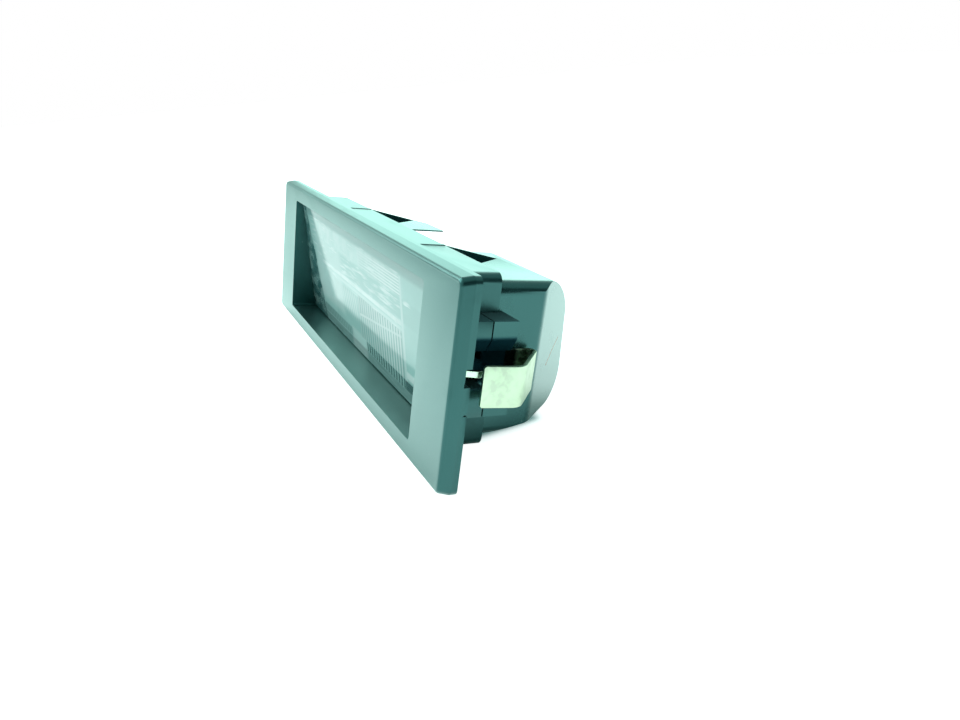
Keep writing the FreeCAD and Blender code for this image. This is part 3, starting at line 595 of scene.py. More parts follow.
@dataclass(frozen=True)
class SatinPlastic:
    """Dark satin moulded plastic.

    The window and the roof are boxes in X, Y and Z round the clip post's dark places, where the
    plastic
    gets painted shade: a dark teal base that turns fully metallic and rough, with no sheen. The
    fibre lies on the housing's slanted end: its line runs from its start by its run in X and Z,
    and ends in a knot.
    """

    name: str
    colour: Colour = (0.004, 0.022, 0.024)
    pale: Colour = (0.008, 0.032, 0.034)
    roughness: float = 0.3
    grain: float = 0.00001
    mirror: float = 2.15
    mirror_tint: Colour = (0.37, 1.0, 0.96)
    sheen: float = 0.56
    sheen_tint: Colour = (0.71, 0.94, 0.88)
    sheen_turn: Range = (0.3, 0.95)
    dust: Colour = (0.32, 0.42, 0.4)
    dust_share: float = 0.35
    rub_rough: float = 0.1
    grain_strength: float = 0.35
    # painted shade: the dark teal of the clip post's window and roof
    hollow: Colour = (0.016, 0.075, 0.10)
    window: Box = ((33.2, 37.6), (1.6, 8.4), (-1.75, 4.7))
    window_soft: float = 0.8
    roof: Box = ((33.25, 37.6), (1.0, 8.6), (6.72, 7.2))
    roof_soft: float = 0.03
    roof_share: float = 0.8
    fibre_tint: Colour = (0.74, 0.32, 0.20)
    fibre_start: Range = (27.95, 1.62)
    fibre_run: Range = (2.4, -3.2)
    fibre_bow: float = 0.14
    fibre_y: Range = (14.5, 15.5)
    fibre_width: Range = (0.09, 0.26)
    knot: Point = (30.3, 0.0, -1.5)
    knot_width: Range = (0.12, 0.32)
    knot_share: float = 0.6

    def painted_shade_boxes(self, nodes: Nodes, box_mask: Callable[[Box, float], Socket]) -> Socket:
        """A mask of the painted shade in the window and on the roof, from a call that masks one
        box.
        """
        return nodes.highest(box_mask(self.window, self.window_soft),
                             nodes.product(box_mask(self.roof, self.roof_soft), self.roof_share))

    def painted_recess_shade(self, nodes: Nodes, group: NodeTree) -> Socket:
        """The painted shade's places by the shared group, for the body."""
        return self.painted_shade_boxes(nodes, lambda box, soft: nodes.grouped(
            group, Soft=soft, **dict(zip(sum(BOX_SIDES, ()), sum(box, ()))))["Mask"])

    def painted_shade_in_material(self, nodes: Nodes) -> Socket:
        """The painted shade's places worked out in the material itself, where the sheen stays off.
        """
        return self.painted_shade_boxes(nodes, lambda box, soft: nodes.product(*(
            nodes.band(value, *side, soft) for side, value in zip(box, nodes.place_mm()))))

    def fibre(self, nodes: Nodes) -> Socket:
        """A mask of the fine fibre: a line in X and Z with a bow of half a sine, and a knot."""
        x, y, z = nodes.place_mm()
        run = nodes.math("DIVIDE", nodes.math("SUBTRACT", x, self.fibre_start[0]),
                         self.fibre_run[0])
        bow = nodes.product(nodes.math("SINE", nodes.product(run, math.pi)), self.fibre_bow)
        straight = nodes.math("MULTIPLY_ADD", run, self.fibre_run[1], self.fibre_start[1])
        away = nodes.math("ABSOLUTE", nodes.math("SUBTRACT", z, nodes.math("ADD", straight, bow)))
        thread = nodes.product(nodes.ranged(away, *self.fibre_width, 1.0, 0.0),
                               nodes.band(run, 0.0, 1.0, 0.05))
        from_knot = nodes.vector("SUBTRACT", nodes.add("CombineXYZ", X=x, Z=z).outputs[0],
                                 self.knot)
        knot = nodes.ranged(nodes.vector("LENGTH", from_knot), *self.knot_width,
                            self.knot_share, 0.0)
        return nodes.product(nodes.highest(thread, knot), nodes.ranged(y, *self.fibre_y))

    def material(self, groups: Groups) -> Material:
        """Build the material with grain, slow unevenness, dust, a fibre and painted shade in the
        clip post's window and on its roof.
        """
        nodes = Finish(self.name)
        skin = nodes.grouped(groups["skin"])
        handling = nodes.grouped(groups["handling"])
        painted_recess_shade = self.painted_recess_shade(nodes, groups["box"])
        fibre = self.fibre(nodes)
        body = nodes.mix(nodes.ranged(skin["Tone"], 0.3, 0.7), self.colour, self.pale)
        dusty = nodes.mix(nodes.product(handling["Specks"], self.dust_share), body, self.dust)
        # painted shade in the post's window and on its roof, then the fibre's colour
        colour = nodes.mix(fibre, nodes.mix(painted_recess_shade, dusty, self.hollow), self.fibre_tint)
        rubbed = nodes.math("MULTIPLY_ADD", handling["Rubs"], self.rub_rough, self.roughness)
        rough = nodes.highest(rubbed, painted_recess_shade)
        bump = nodes.bump(skin["Height"], self.grain_strength, self.grain)
        # the painted shade also turns fully metallic and rough, so its dark colour takes the
        # reflections away
        nodes.put(nodes.shader, Base_Color=colour, Roughness=rough, Metallic=painted_recess_shade,
                  IOR=self.mirror, Specular_Tint=self.mirror_tint, Normal=bump)
        facing = nodes.add("LayerWeight", Normal=bump).outputs["Facing"]
        polish = nodes.add("BsdfAnisotropic", Color=self.sheen_tint, Roughness=rough, Normal=bump)
        glossy = nodes.product(nodes.ranged(facing, *self.sheen_turn, 0.0, self.sheen),
                               nodes.rest(nodes.highest(self.painted_shade_in_material(nodes), fibre)))
        return nodes.done(nodes.blend(glossy, nodes.shader, polish))


@dataclass(frozen=True)
class ClearMoulding:
    """Clear moulded plastic or glass that lets lamps shine through."""

    name: str
    tint: Colour
    roughness: float
    ior: float
    wave: float = 0.00002
    wave_strength: float = 0.3
    dust_rough: float = 0.3
    passed: Colour = (0.9, 0.97, 0.95)
    mirror_level: float = 1.0

    def body(self, nodes: Nodes, groups: Groups) -> dict[str, object]:
        """The shader's colour and how much light passes."""
        return {"Base_Color": self.tint, "Transmission_Weight": 1.0}

    def material(self, groups: Groups) -> Material:
        """Build the material: glass for sight, and clear for the lamps' rays."""
        nodes = Finish(self.name)
        skin = nodes.grouped(groups["skin"], Grain_Scale=2500.0, Wave_Scale=200.0)
        handling = nodes.grouped(groups["handling"], Speck_Scale=900.0, Speck_Cut=0.84)
        rough = nodes.math("MULTIPLY_ADD", handling["Specks"], self.dust_rough, self.roughness)
        bump = nodes.bump(skin["Height"], self.wave_strength, self.wave)
        nodes.put(nodes.shader, Specular_Tint=(self.mirror_level,) * 3, IOR=self.ior,
                  Roughness=rough, Normal=bump, **self.body(nodes, groups))
        clear = nodes.add("BsdfTransparent", Color=self.passed)
        shadow = nodes.add("LightPath").outputs["Is Shadow Ray"]
        return nodes.done(nodes.blend(shadow, nodes.shader, clear))


@dataclass(frozen=True)
class MilkyFlutes(ClearMoulding):
    """Milky clear plastic, with painted light on the flutes' crests and painted shade between
    them.
    """

    # colours of the painted light on the crests and the painted shade between them
    painted_crest_light: Colour = (0.98, 1.0, 1.0)
    painted_ground_shade: Colour = (0.04, 0.12, 0.12)
    clear_share: float = 0.3
    has_painted_light: bool = True

    def body(self, nodes: Nodes, groups: Groups) -> dict[str, object]:
        """The colour with the flutes' painted light and shade, and how much light passes."""
        colour = self.tint
        if self.has_painted_light:
            flute_light_and_shade = nodes.grouped(groups["flutes"])
            # painted shade, then painted light on the crests
            shaded = nodes.mix(flute_light_and_shade["Dark"], self.tint, self.painted_ground_shade)
            colour = nodes.mix(flute_light_and_shade["Light"], shaded, self.painted_crest_light)
        return {"Base_Color": colour, "Transmission_Weight": self.clear_share}


@dataclass(frozen=True)
class SheetMetal:
    """Rolled, plated or polished metal."""

    name: str
    colour: Colour
    stained: Colour
    roughness: float
    line_scale: float = 900.0
    line_depth: float = 0.000004
    line_strength: float = 0.5
    stain_scale: float = 380.0
    stain_rough: float = 0.15

    def shade(self, nodes: Nodes, colour: Socket) -> tuple[Socket, object]:
        """The metal's colour and an extra height, where a kind of metal has them."""
        return colour, 0.0

    def material(self, groups: Groups) -> Material:
        """Build the material with rolling lines and faint stains."""
        nodes = Finish(self.name)
        rolled = nodes.grouped(groups["rolled"], Line_Scale=self.line_scale,
                               Stain_Scale=self.stain_scale)
        plain = nodes.mix(rolled["Stains"], self.colour, self.stained)
        colour, dents = self.shade(nodes, plain)
        rough = nodes.math("MULTIPLY_ADD", rolled["Stains"], self.stain_rough, self.roughness)
        bump = nodes.bump(nodes.math("ADD", rolled["Lines"], dents), self.line_strength,
                          self.line_depth)
        nodes.put(nodes.shader, Base_Color=colour, Metallic=1.0, Roughness=rough, Normal=bump)
        return nodes.done(nodes.shader)


@dataclass(frozen=True)
class ClipSteel(SheetMetal):
    """Spring steel with grey stains, a painted shadow where the post covers the inner leg, and
    dents inside the bend that carry painted shade.

    The fold is a line in X and Y: a place is outside it by the normal's product less the reach.
    """

    grey: Colour = (0.46, 0.54, 0.44)
    # painted shade in the dents inside the bend
    bend_painted_shade: Colour = (0.10, 0.14, 0.08)
    # painted shadow of the post on the inner leg
    post_painted_shadow: Colour = (0.004, 0.012, 0.012)
    dent: float = 16.0
    fold_normal: Range = (0.661, 0.75)
    fold_reach: float = 32.335
    bend_x: Range = (35.2, 36.6)
    post_x: Range = (34.4, 34.9)
    post_y: Range = (10.0, 10.7)
    lit_y: Range = (4.5, 8.0)

    def shade(self, nodes: Nodes, colour: Socket) -> tuple[Socket, object]:
        """Paint the post's shadow on the inner leg, and dent the inside of the bend, with painted
        shade in the dents.
        """
        x, y, _ = nodes.place_mm()
        blots = nodes.noise(nodes.place(), 800.0, 4.0)
        dents = nodes.noise(nodes.place(), 1100.0, 4.0)
        ends = nodes.product(nodes.ranged(blots, 0.46, 0.64, 0.0, 0.5),
                             nodes.ranged(y, *self.lit_y, 1.0, 0.25))
        outside = nodes.math("MULTIPLY_ADD", x, self.fold_normal[0], nodes.math(
            "MULTIPLY_ADD", y, self.fold_normal[1], -self.fold_reach))
        inner = nodes.product(nodes.ranged(x, *self.bend_x, 1.0, 0.0),
                              nodes.ranged(outside, -0.1, 0.05, 1.0, 0.0))
        # painted shadow where the post covers the inner leg
        behind = nodes.product(nodes.ranged(x, *self.post_x, 1.0, 0.0),
                               nodes.ranged(y, *self.post_y, 1.0, 0.0), 0.97)
        # painted shade in the dents inside the bend
        bend = nodes.mix(nodes.product(inner, nodes.ranged(dents, 0.46, 0.58, 0.1, 0.85)),
                         nodes.mix(ends, colour, self.grey), self.bend_painted_shade)
        return nodes.mix(behind, bend, self.post_painted_shadow), nodes.product(dents, inner, self.dent)


@dataclass(frozen=True)
class PaleFloor:
    """A pale floor that is white to the camera and keeps the lamp's shadow, with a painted contact
    shadow and a painted teal shade round the housing's foot, and painted shade in what it shows in
    reflections.
    """

    colour: Colour = (0.86, 0.88, 0.88)
    # painted shade: the teal colour close round the housing's foot; white lies further out
    glow: Colour = (0.64, 0.74, 0.73)
    # the foot, far and near values darken the floor in reflections: painted shade under the lamp,
    # far to the left and towards +X
    foot_centre: Point = (-2.0, 9.0, -11.0)
    foot_half: Point = (36.0, 9.0, 40.0)
    foot_blur: float = 9.0
    far_x: Range = (-100.0, -15.0)
    far_share: Range = (0.52, 1.0)
    near_x: Range = (-20.0, 32.0)
    near_share: Range = (0.88, 0.74)
    # painted contact shadow: the dark colour right at the housing's foot and its blur; the box and
    # range below place it and the teal shade
    touch: Colour = (0.06, 0.16, 0.15)
    touch_blur: float = 1.8
    body_centre: Point = (-0.5, 12.5, -11.0)
    body_half: Point = (30.5, 4.0, 40.0)
    painted_shade_halo: Range = (0.3, 3.6)

    def gap(self, nodes: Nodes, centre: Point, half: Point) -> Socket:
        """Distance in millimetres of the shaded point from an upright box."""
        place = nodes.vector("MULTIPLY", nodes.place(), (1 / MM,) * 3)
        beside = nodes.vector("ABSOLUTE", nodes.vector("SUBTRACT", place, centre))
        outside = nodes.vector("SUBTRACT", beside, half)
        return nodes.vector("LENGTH", nodes.vector("MAXIMUM", outside, (0.0, 0.0, 0.0)))

    def material(self) -> Material:
        """Build the material, clear when it is looked at from below."""
        nodes = Finish("pale_floor")
        nodes.put(nodes.shader, Base_Color=self.colour, Roughness=0.8, Specular_IOR_Level=0.2)
        path = nodes.add("LightPath")
        camera = path.outputs["Is Camera Ray"]
        x = nodes.place_mm()[0]
        foot = self.gap(nodes, self.foot_centre, self.foot_half)
        near = self.gap(nodes, self.body_centre, self.body_half)
        # painted shade in reflections: dimmer far to the left, towards +X and under the lamp
        mirrored = nodes.product(nodes.ranged(x, *self.far_x, *self.far_share),
                                 nodes.ranged(x, *self.near_x, *self.near_share),
                                 nodes.ranged(foot, 0.0, self.foot_blur))
        level = nodes.math("ADD", camera, nodes.product(mirrored, nodes.rest(camera)))
        # painted shade: a teal halo and a dark contact shadow round the housing's foot
        soft = nodes.mix(nodes.ranged(near, *self.painted_shade_halo), self.glow, WHITE)
        painted_contact_share = nodes.ranged(near, 0.0, self.touch_blur, 1.0, 0.0)
        glow = nodes.add("Emission", Color=nodes.mix(painted_contact_share, soft, self.touch), Strength=level)
        lit = nodes.fed(nodes.add("AddShader"), (nodes.shader.outputs[0], glow.outputs[0]))
        top = nodes.blend(nodes.sight(path), nodes.shader, lit)
        below = nodes.add("NewGeometry").outputs["Backfacing"]
        return nodes.done(nodes.blend(below, top, nodes.add("BsdfTransparent")))


@dataclass
class Finishes:
    """Every finish on the lamp, built once."""

    made: dict[str, Material] = field(default_factory=dict)

    def build(self) -> None:
        """Build the shared groups, then the materials by slot."""
        groups = {"skin": moulded_skin_group(), "handling": handling_group(),
                  "rolled": rolled_metal_group(), "box": box_mask_group(),
                  "flutes": FlutePaintedLight().group()}
        kinds = {
            "frame_plastic": SatinPlastic("frame_black", mirror=2.08, sheen=0.4),
            "housing_plastic": SatinPlastic("housing_black", roughness=0.26,
                                            sheen_tint=(0.71, 0.88, 0.83)),
            "seal_rubber": SatinPlastic("seal_black", (0.012, 0.02, 0.02), (0.02, 0.03, 0.03),
                                        0.7, 0.00003, mirror=1.5, sheen=0.1),
            "carrier_plastic": SatinPlastic("carrier_grey", (0.05, 0.055, 0.05),
                                            (0.07, 0.075, 0.07), 0.5, 0.00002, mirror=1.5,
                                            sheen=0.15),
            "lens_plastic": MilkyFlutes("lens_clear", (0.51, 0.73, 0.705), 0.06, 1.49,
                                        mirror_level=0.2),
            "root_plastic": MilkyFlutes("lens_roots", (0.86, 1.0, 0.98), 0.5, 1.49,
                                        clear_share=0.1, has_painted_light=False),
            "bulb_clear_glass": ClearMoulding("bulb_clear", (0.98, 1.0, 0.99), 0.0, 1.5),
            "reflector_metal": SheetMetal("reflector_bright", (0.84, 0.98, 0.95),
                                          (0.80, 0.94, 0.91), 0.45, 500.0, 0.00001),
            "clip_steel": ClipSteel("clip_steel", (0.64, 0.82, 0.60), (0.56, 0.72, 0.52), 0.34),
            "tongue_steel": SheetMetal("tongue_steel", (0.74, 0.98, 0.78), (0.68, 0.9, 0.72),
                                       0.18),
            "cap_metal": SheetMetal("cap_nickel", (0.78, 0.8, 0.76), (0.6, 0.62, 0.57), 0.22),
            "wire_metal": SheetMetal("wire_tungsten", (0.5, 0.52, 0.5), (0.38, 0.39, 0.37), 0.35),
            "contact_brass": SheetMetal("contact_brass", (0.83, 0.66, 0.32), (0.62, 0.46, 0.2),
                                        0.28),
        }
        self.made = {slot: kind.material(groups) for slot, kind in kinds.items()}

    def give(self, obj: Object, look: str) -> None:
        """Give an object one finish."""
        obj.data.materials.clear()
        obj.data.materials.append(self.made[look])

    def dress_node(self, node: str) -> None:
        """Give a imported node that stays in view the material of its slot."""
        slot = next(part["material_slot"] for part in frame["record"]["subparts"]
                    if part["node"] == node)
        self.give(frame["nodes"][node], slot)

    def finish(self, obj: Object, slot: str, nodes: tuple[str, ...] = (), look: str = "") -> None:
        """Give a new piece its finish, body, slot and the nodes it stands for.

        Args:
            obj: The piece.
            slot: The record's material slot.
            nodes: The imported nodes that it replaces.
            look: The finish's name, where it isn't the slot's.
        """
        self.give(obj, look or slot)
        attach(obj, "root")
        if nodes:
            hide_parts(*nodes)
        log.info("%s: %d faces", obj.name, len(obj.data.polygons))


@dataclass
class Mouldings:
    """The two black mouldings, with small rounds on their edges."""

    edge: float = 0.16

    def build(self, finishes: Finishes) -> None:
        """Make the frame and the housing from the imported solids."""
        for node, name, slot in (("front_frame", "frame_moulding", "frame_plastic"),
                                 ("rear_housing", "housing_moulding", "housing_plastic")):
            finishes.finish(casting_from(node, name, self.edge), slot, (node,))


@dataclass
class FlutedLens:
    """The inclined clear lens with its two fluted zones, a bar between them and a border."""

    half: float = 31.7
    top: float = 10.1
    front_top: float = -1.3
    thickness: float = 1.8
    zone_half: float = 18.4
    flat_from: float = 1.2
    flat_to: float = 7.8
    flat_pitch: float = 0.43
    flat_depth: float = 0.03
    upright_from: float = -8.3
    upright_to: float = -0.1
    upright_pitch: float = 1.1
    upright_depth: float = 0.05
    block_rise: float = 0.2
    bar_z: float = 0.55
    bar_radius: float = 0.5
    root_width: float = 0.2
    root_rise: float = 0.06
    flat_roots: int = 7
    flat_start: float = -0.1
    side_fade: float = 0.25
    flat_fade: float = 0.05
    upright_fade: float = 0.2
    block_fade: float = 0.1
    columns: int = 347
    rows: int = 236
    sharp_angle: float = 40.0

    def fade(self, value: np.ndarray, low: float, high: float, width: float) -> np.ndarray:
        """1 between low and high, falling smoothly to 0 within a width outside them."""
        inside = np.minimum(value - low, high - value) / width + 1.0
        step = np.clip(inside, 0.0, 1.0)
        return step * step * (3 - 2 * step)

    def relief(self, x: np.ndarray, z: np.ndarray) -> np.ndarray:
        """How far the rear face stands out at each (x, z).

        The upper zone is a row of rounded ridges along X, the lower zone a row of ridges down
        the lens, and between them lies a bar whose section is half a circle.
        """
        across = self.fade(x, -self.zone_half, self.zone_half, self.side_fade)
        flat = np.abs(np.sin(math.pi * (z - self.flat_to) / self.flat_pitch))
        upright = np.abs(np.sin(math.pi * (x + self.zone_half) / self.upright_pitch))
        upper = self.flat_depth * flat * self.fade(z, self.flat_from, self.flat_to,
                                                   self.flat_fade)
        lower = self.upright_depth * upright * self.fade(z, self.upright_from,
                                                         self.upright_to, self.upright_fade)
        away = (z - self.bar_z) / self.bar_radius
        bar = self.bar_radius * np.sqrt(np.clip(1 - away * away, 0, 1))
        block = self.block_rise * self.fade(z, self.upright_from, self.flat_to,
                                            self.block_fade)
        return across * (block + np.maximum(np.maximum(upper, lower), bar))

    def rear_y(self, z: np.ndarray) -> np.ndarray:
        """Y of the fluted block's rear face at height z."""
        return self.front_top + lean_back(z) + self.thickness + self.block_rise

    def roots(self, finishes: Finishes) -> None:
        """Make the pale roots between the flutes: thin bars on the block's rear face.

        Each bar is a box between two corners (x, z), sheared to the lens's lean.
        """
        half = self.root_width / 2
        count = int(2 * self.zone_half / self.upright_pitch)
        x = -self.zone_half + self.upright_pitch * (np.arange(count) + 0.5)
        uprights = np.stack([x - half, x + half, np.full(count, self.upright_from),
                             np.full(count, self.upright_to)], axis=1)
        z = self.flat_to - self.flat_pitch * (np.arange(self.flat_roots) + 0.5)
        ends = np.full(self.flat_roots, self.zone_half)
        flats = np.stack([ends * self.flat_start, ends, z - half / 2, z + half / 2], axis=1)
        low_x, high_x, low_z, high_z = np.concatenate([uprights, flats]).T
        corner_x = np.stack([low_x, high_x, high_x, low_x], axis=1)
        corner_z = np.stack([low_z, low_z, high_z, high_z], axis=1)
        front = np.stack([corner_x, self.rear_y(corner_z) - self.root_rise, corner_z], axis=-1)
        back = front + np.array([0.0, 2 * self.root_rise, 0.0])
        points = np.concatenate([front, back], axis=1).reshape(-1, 3)
        box = np.array([[0, 1, 2, 3], [7, 6, 5, 4], [0, 4, 5, 1], [1, 5, 6, 2], [2, 6, 7, 3],
                        [3, 7, 4, 0]])
        faces = (box[None] + 8 * np.arange(len(low_x))[:, None, None]).reshape(-1, 4)
        finishes.finish(solid_from("flute_roots", points, [faces]), "lens_plastic",
                        look="root_plastic")

    def build(self, finishes: Finishes) -> None:
        """Make the lens: a rear grid, a rim round its border and one front face.

        The rear grid's points lie behind the inclined plane by the thickness and the relief, and
        the rim's front points lie on that plane.
        """
        across, up = np.meshgrid(np.linspace(-self.half, self.half, self.columns),
                                 np.linspace(-self.top, self.top, self.rows))
        plane = self.front_top + lean_back(up)
        rear = np.stack([across, plane + self.thickness + self.relief(across, up), up],
                        axis=-1).reshape(-1, 3)
        front = np.stack([across, plane, up], axis=-1).reshape(-1, 3)
        index = np.arange(len(rear)).reshape(self.rows, self.columns)
        border = np.concatenate([index[0], index[1:, -1], index[-1, -2::-1], index[-2:0:-1, 0]])
        ahead = np.arange(len(border)) + len(rear)
        rim = np.stack([border, ahead, np.roll(ahead, -1), np.roll(border, -1)], axis=1)
        lens = solid_from("lens_moulding", np.concatenate([rear, front[border]]),
                          [grid_faces(self.rows, self.columns, Close.OPEN), rim, ahead[None]],
                          self.sharp_angle)
        finishes.finish(lens, "lens_plastic", ("lens",))
        self.roots(finishes)


@dataclass
class Reflector:
    """The bright bowl with a skirt that lines the frame's opening up to the lens."""

    half: float = 30.14
    top: float = 8.54
    wall: float = 0.25
    rear: float = 5.6
    lens_gap: float = 0.85
    edge: float = 0.1

    def build(self, finishes: Finishes) -> None:
        """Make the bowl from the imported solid, and the skirt as a ring of four thin walls.

        The skirt's front edge follows the lens's lean.
        """
        bowl = casting_from("reflector", "reflector_bowl", self.edge)
        finishes.finish(bowl, "reflector_metal", ("reflector",))
        x = np.array([-1.0, 1.0, 1.0, -1.0])
        z = np.array([-1.0, -1.0, 1.0, 1.0])
        rings = []
        for inset, at_front in ((0.0, True), (self.wall, True), (self.wall, False), (0.0, False)):
            depth = (self.lens_gap + lean_back(z * self.top) if at_front
                     else np.full_like(z, self.rear))
            rings.append(np.stack([x * (self.half - inset), depth, z * (self.top - inset)],
                                  axis=1))
        points = np.concatenate(rings + rings[:1])
        skirt = solid_from("reflector_skirt", points, [grid_faces(5, 4, Close.ROUND)])
        finishes.finish(skirt, "reflector_metal")


@dataclass
class SpringClip:
    """The bent steel clip: a wide strip with a narrow tongue."""

    thickness: float = 0.5
    low: float = -3.15
    high: float = 2.05
    leg: tuple[Range, ...] = ((33.6, 4.75), (33.6, 13.5), (39.95, 7.9), (39.2, 3.0))
    leg_bends: tuple[float, ...] = (0.75, 1.8)
    tongue: tuple[Range, ...] = ((33.6, 8.0), (33.6, 4.2), (36.95, 4.05), (36.15, 2.0))
    tongue_bends: tuple[float, ...] = (0.5, 0.35)
    tongue_low: float = -0.33
    tongue_high: float = 0.52
    edge: float = 0.06
    corner: float = 0.2
    arc_points: int = 15
    line_points: int = 90
    edge_points: int = 5
    sharp_angle: float = 40.0

    def path(self, corners: np.ndarray, radii: tuple[float, ...]) -> np.ndarray:
        """The strip's middle line: straight runs joined by tangent arcs.

        An arc between two runs starts at radius / tan(half the angle between them) from the
        corner, and its points turn evenly from the first run's side to the second's.
        """
        parts = [corners[:1]]
        for number, radius in enumerate(radii, start=1):
            back = unit(corners[number - 1] - corners[number])
            ahead = unit(corners[number + 1] - corners[number])
            half = math.acos(float(back @ ahead)) / 2
            centre = corners[number] + unit(back + ahead) * radius / math.sin(half)
            first = corners[number] + back * radius / math.tan(half) - centre
            last = corners[number] + ahead * radius / math.tan(half) - centre
            share = np.linspace(0, 1, self.arc_points)[:, None]
            sweep = math.pi - 2 * half
            arc = (np.sin((1 - share) * sweep) * first + np.sin(share * sweep) * last)
            parts.append(centre + arc / math.sin(sweep))
        parts.append(corners[-1:])
        line = np.concatenate(parts)
        places = run_length(line)
        dense = np.unique(np.concatenate([places, np.linspace(0, places[-1], self.line_points)]))
        return np.stack([np.interp(dense, places, line[:, axis]) for axis in (0, 1)], axis=1)

    def strip(self, name: str, corners: tuple[Range, ...], radii: tuple[float, ...],
              low: float, high: float) -> Object:
        """A closed strip: a rounded rectangle carried along the path.

        The section's corners are quarter circles of the edge's radius. Near the free end the
        strip's height shrinks along a quarter circle, which rounds its two corners.
        """
        line = self.path(np.array(corners), radii)
        tangent = unit(np.gradient(line, axis=0))
        across = np.stack([-tangent[:, 1], tangent[:, 0]], axis=1)
        quarter = np.repeat(np.arange(4) * math.pi / 2, self.edge_points)
        angle = quarter + np.tile(np.linspace(0, math.pi / 2, self.edge_points), 4)
        side = np.sign(np.cos(quarter + math.pi / 4))
        rise = np.sign(np.sin(quarter + math.pi / 4))
        out = side * (self.thickness / 2 - self.edge) + self.edge * np.cos(angle)
        length = run_length(line)
        left = np.clip((self.corner - (length[-1] - length)) / self.corner, 0, 1)
        shrink = self.corner * (1 - np.sqrt(1 - left * left))
        half = (high - low) / 2 - shrink[:, None]
        z = (high + low) / 2 + rise * (half - self.edge) + self.edge * np.sin(angle)
        x = line[:, 0:1] + across[:, 0:1] * out
        y = line[:, 1:2] + across[:, 1:2] * out
        rows, columns = z.shape
        points = np.stack([x, y, z], axis=-1).reshape(-1, 3)
        ends = np.arange(columns) + np.array([[0], [(rows - 1) * columns]])
        return solid_from(name, points, [grid_faces(rows, columns, Close.ROUND), ends],
                          self.sharp_angle)

    def build(self, finishes: Finishes) -> None:
        """Make the strip and its tongue."""
        leg = self.strip("clip_strip", self.leg, self.leg_bends, self.low, self.high)
        finishes.finish(leg, "clip_steel", ("spring_clip",))
        tongue = self.strip("clip_tongue", self.tongue, self.tongue_bends, self.tongue_low,
                            self.tongue_high)
        finishes.finish(tongue, "clip_steel", look="tongue_steel")


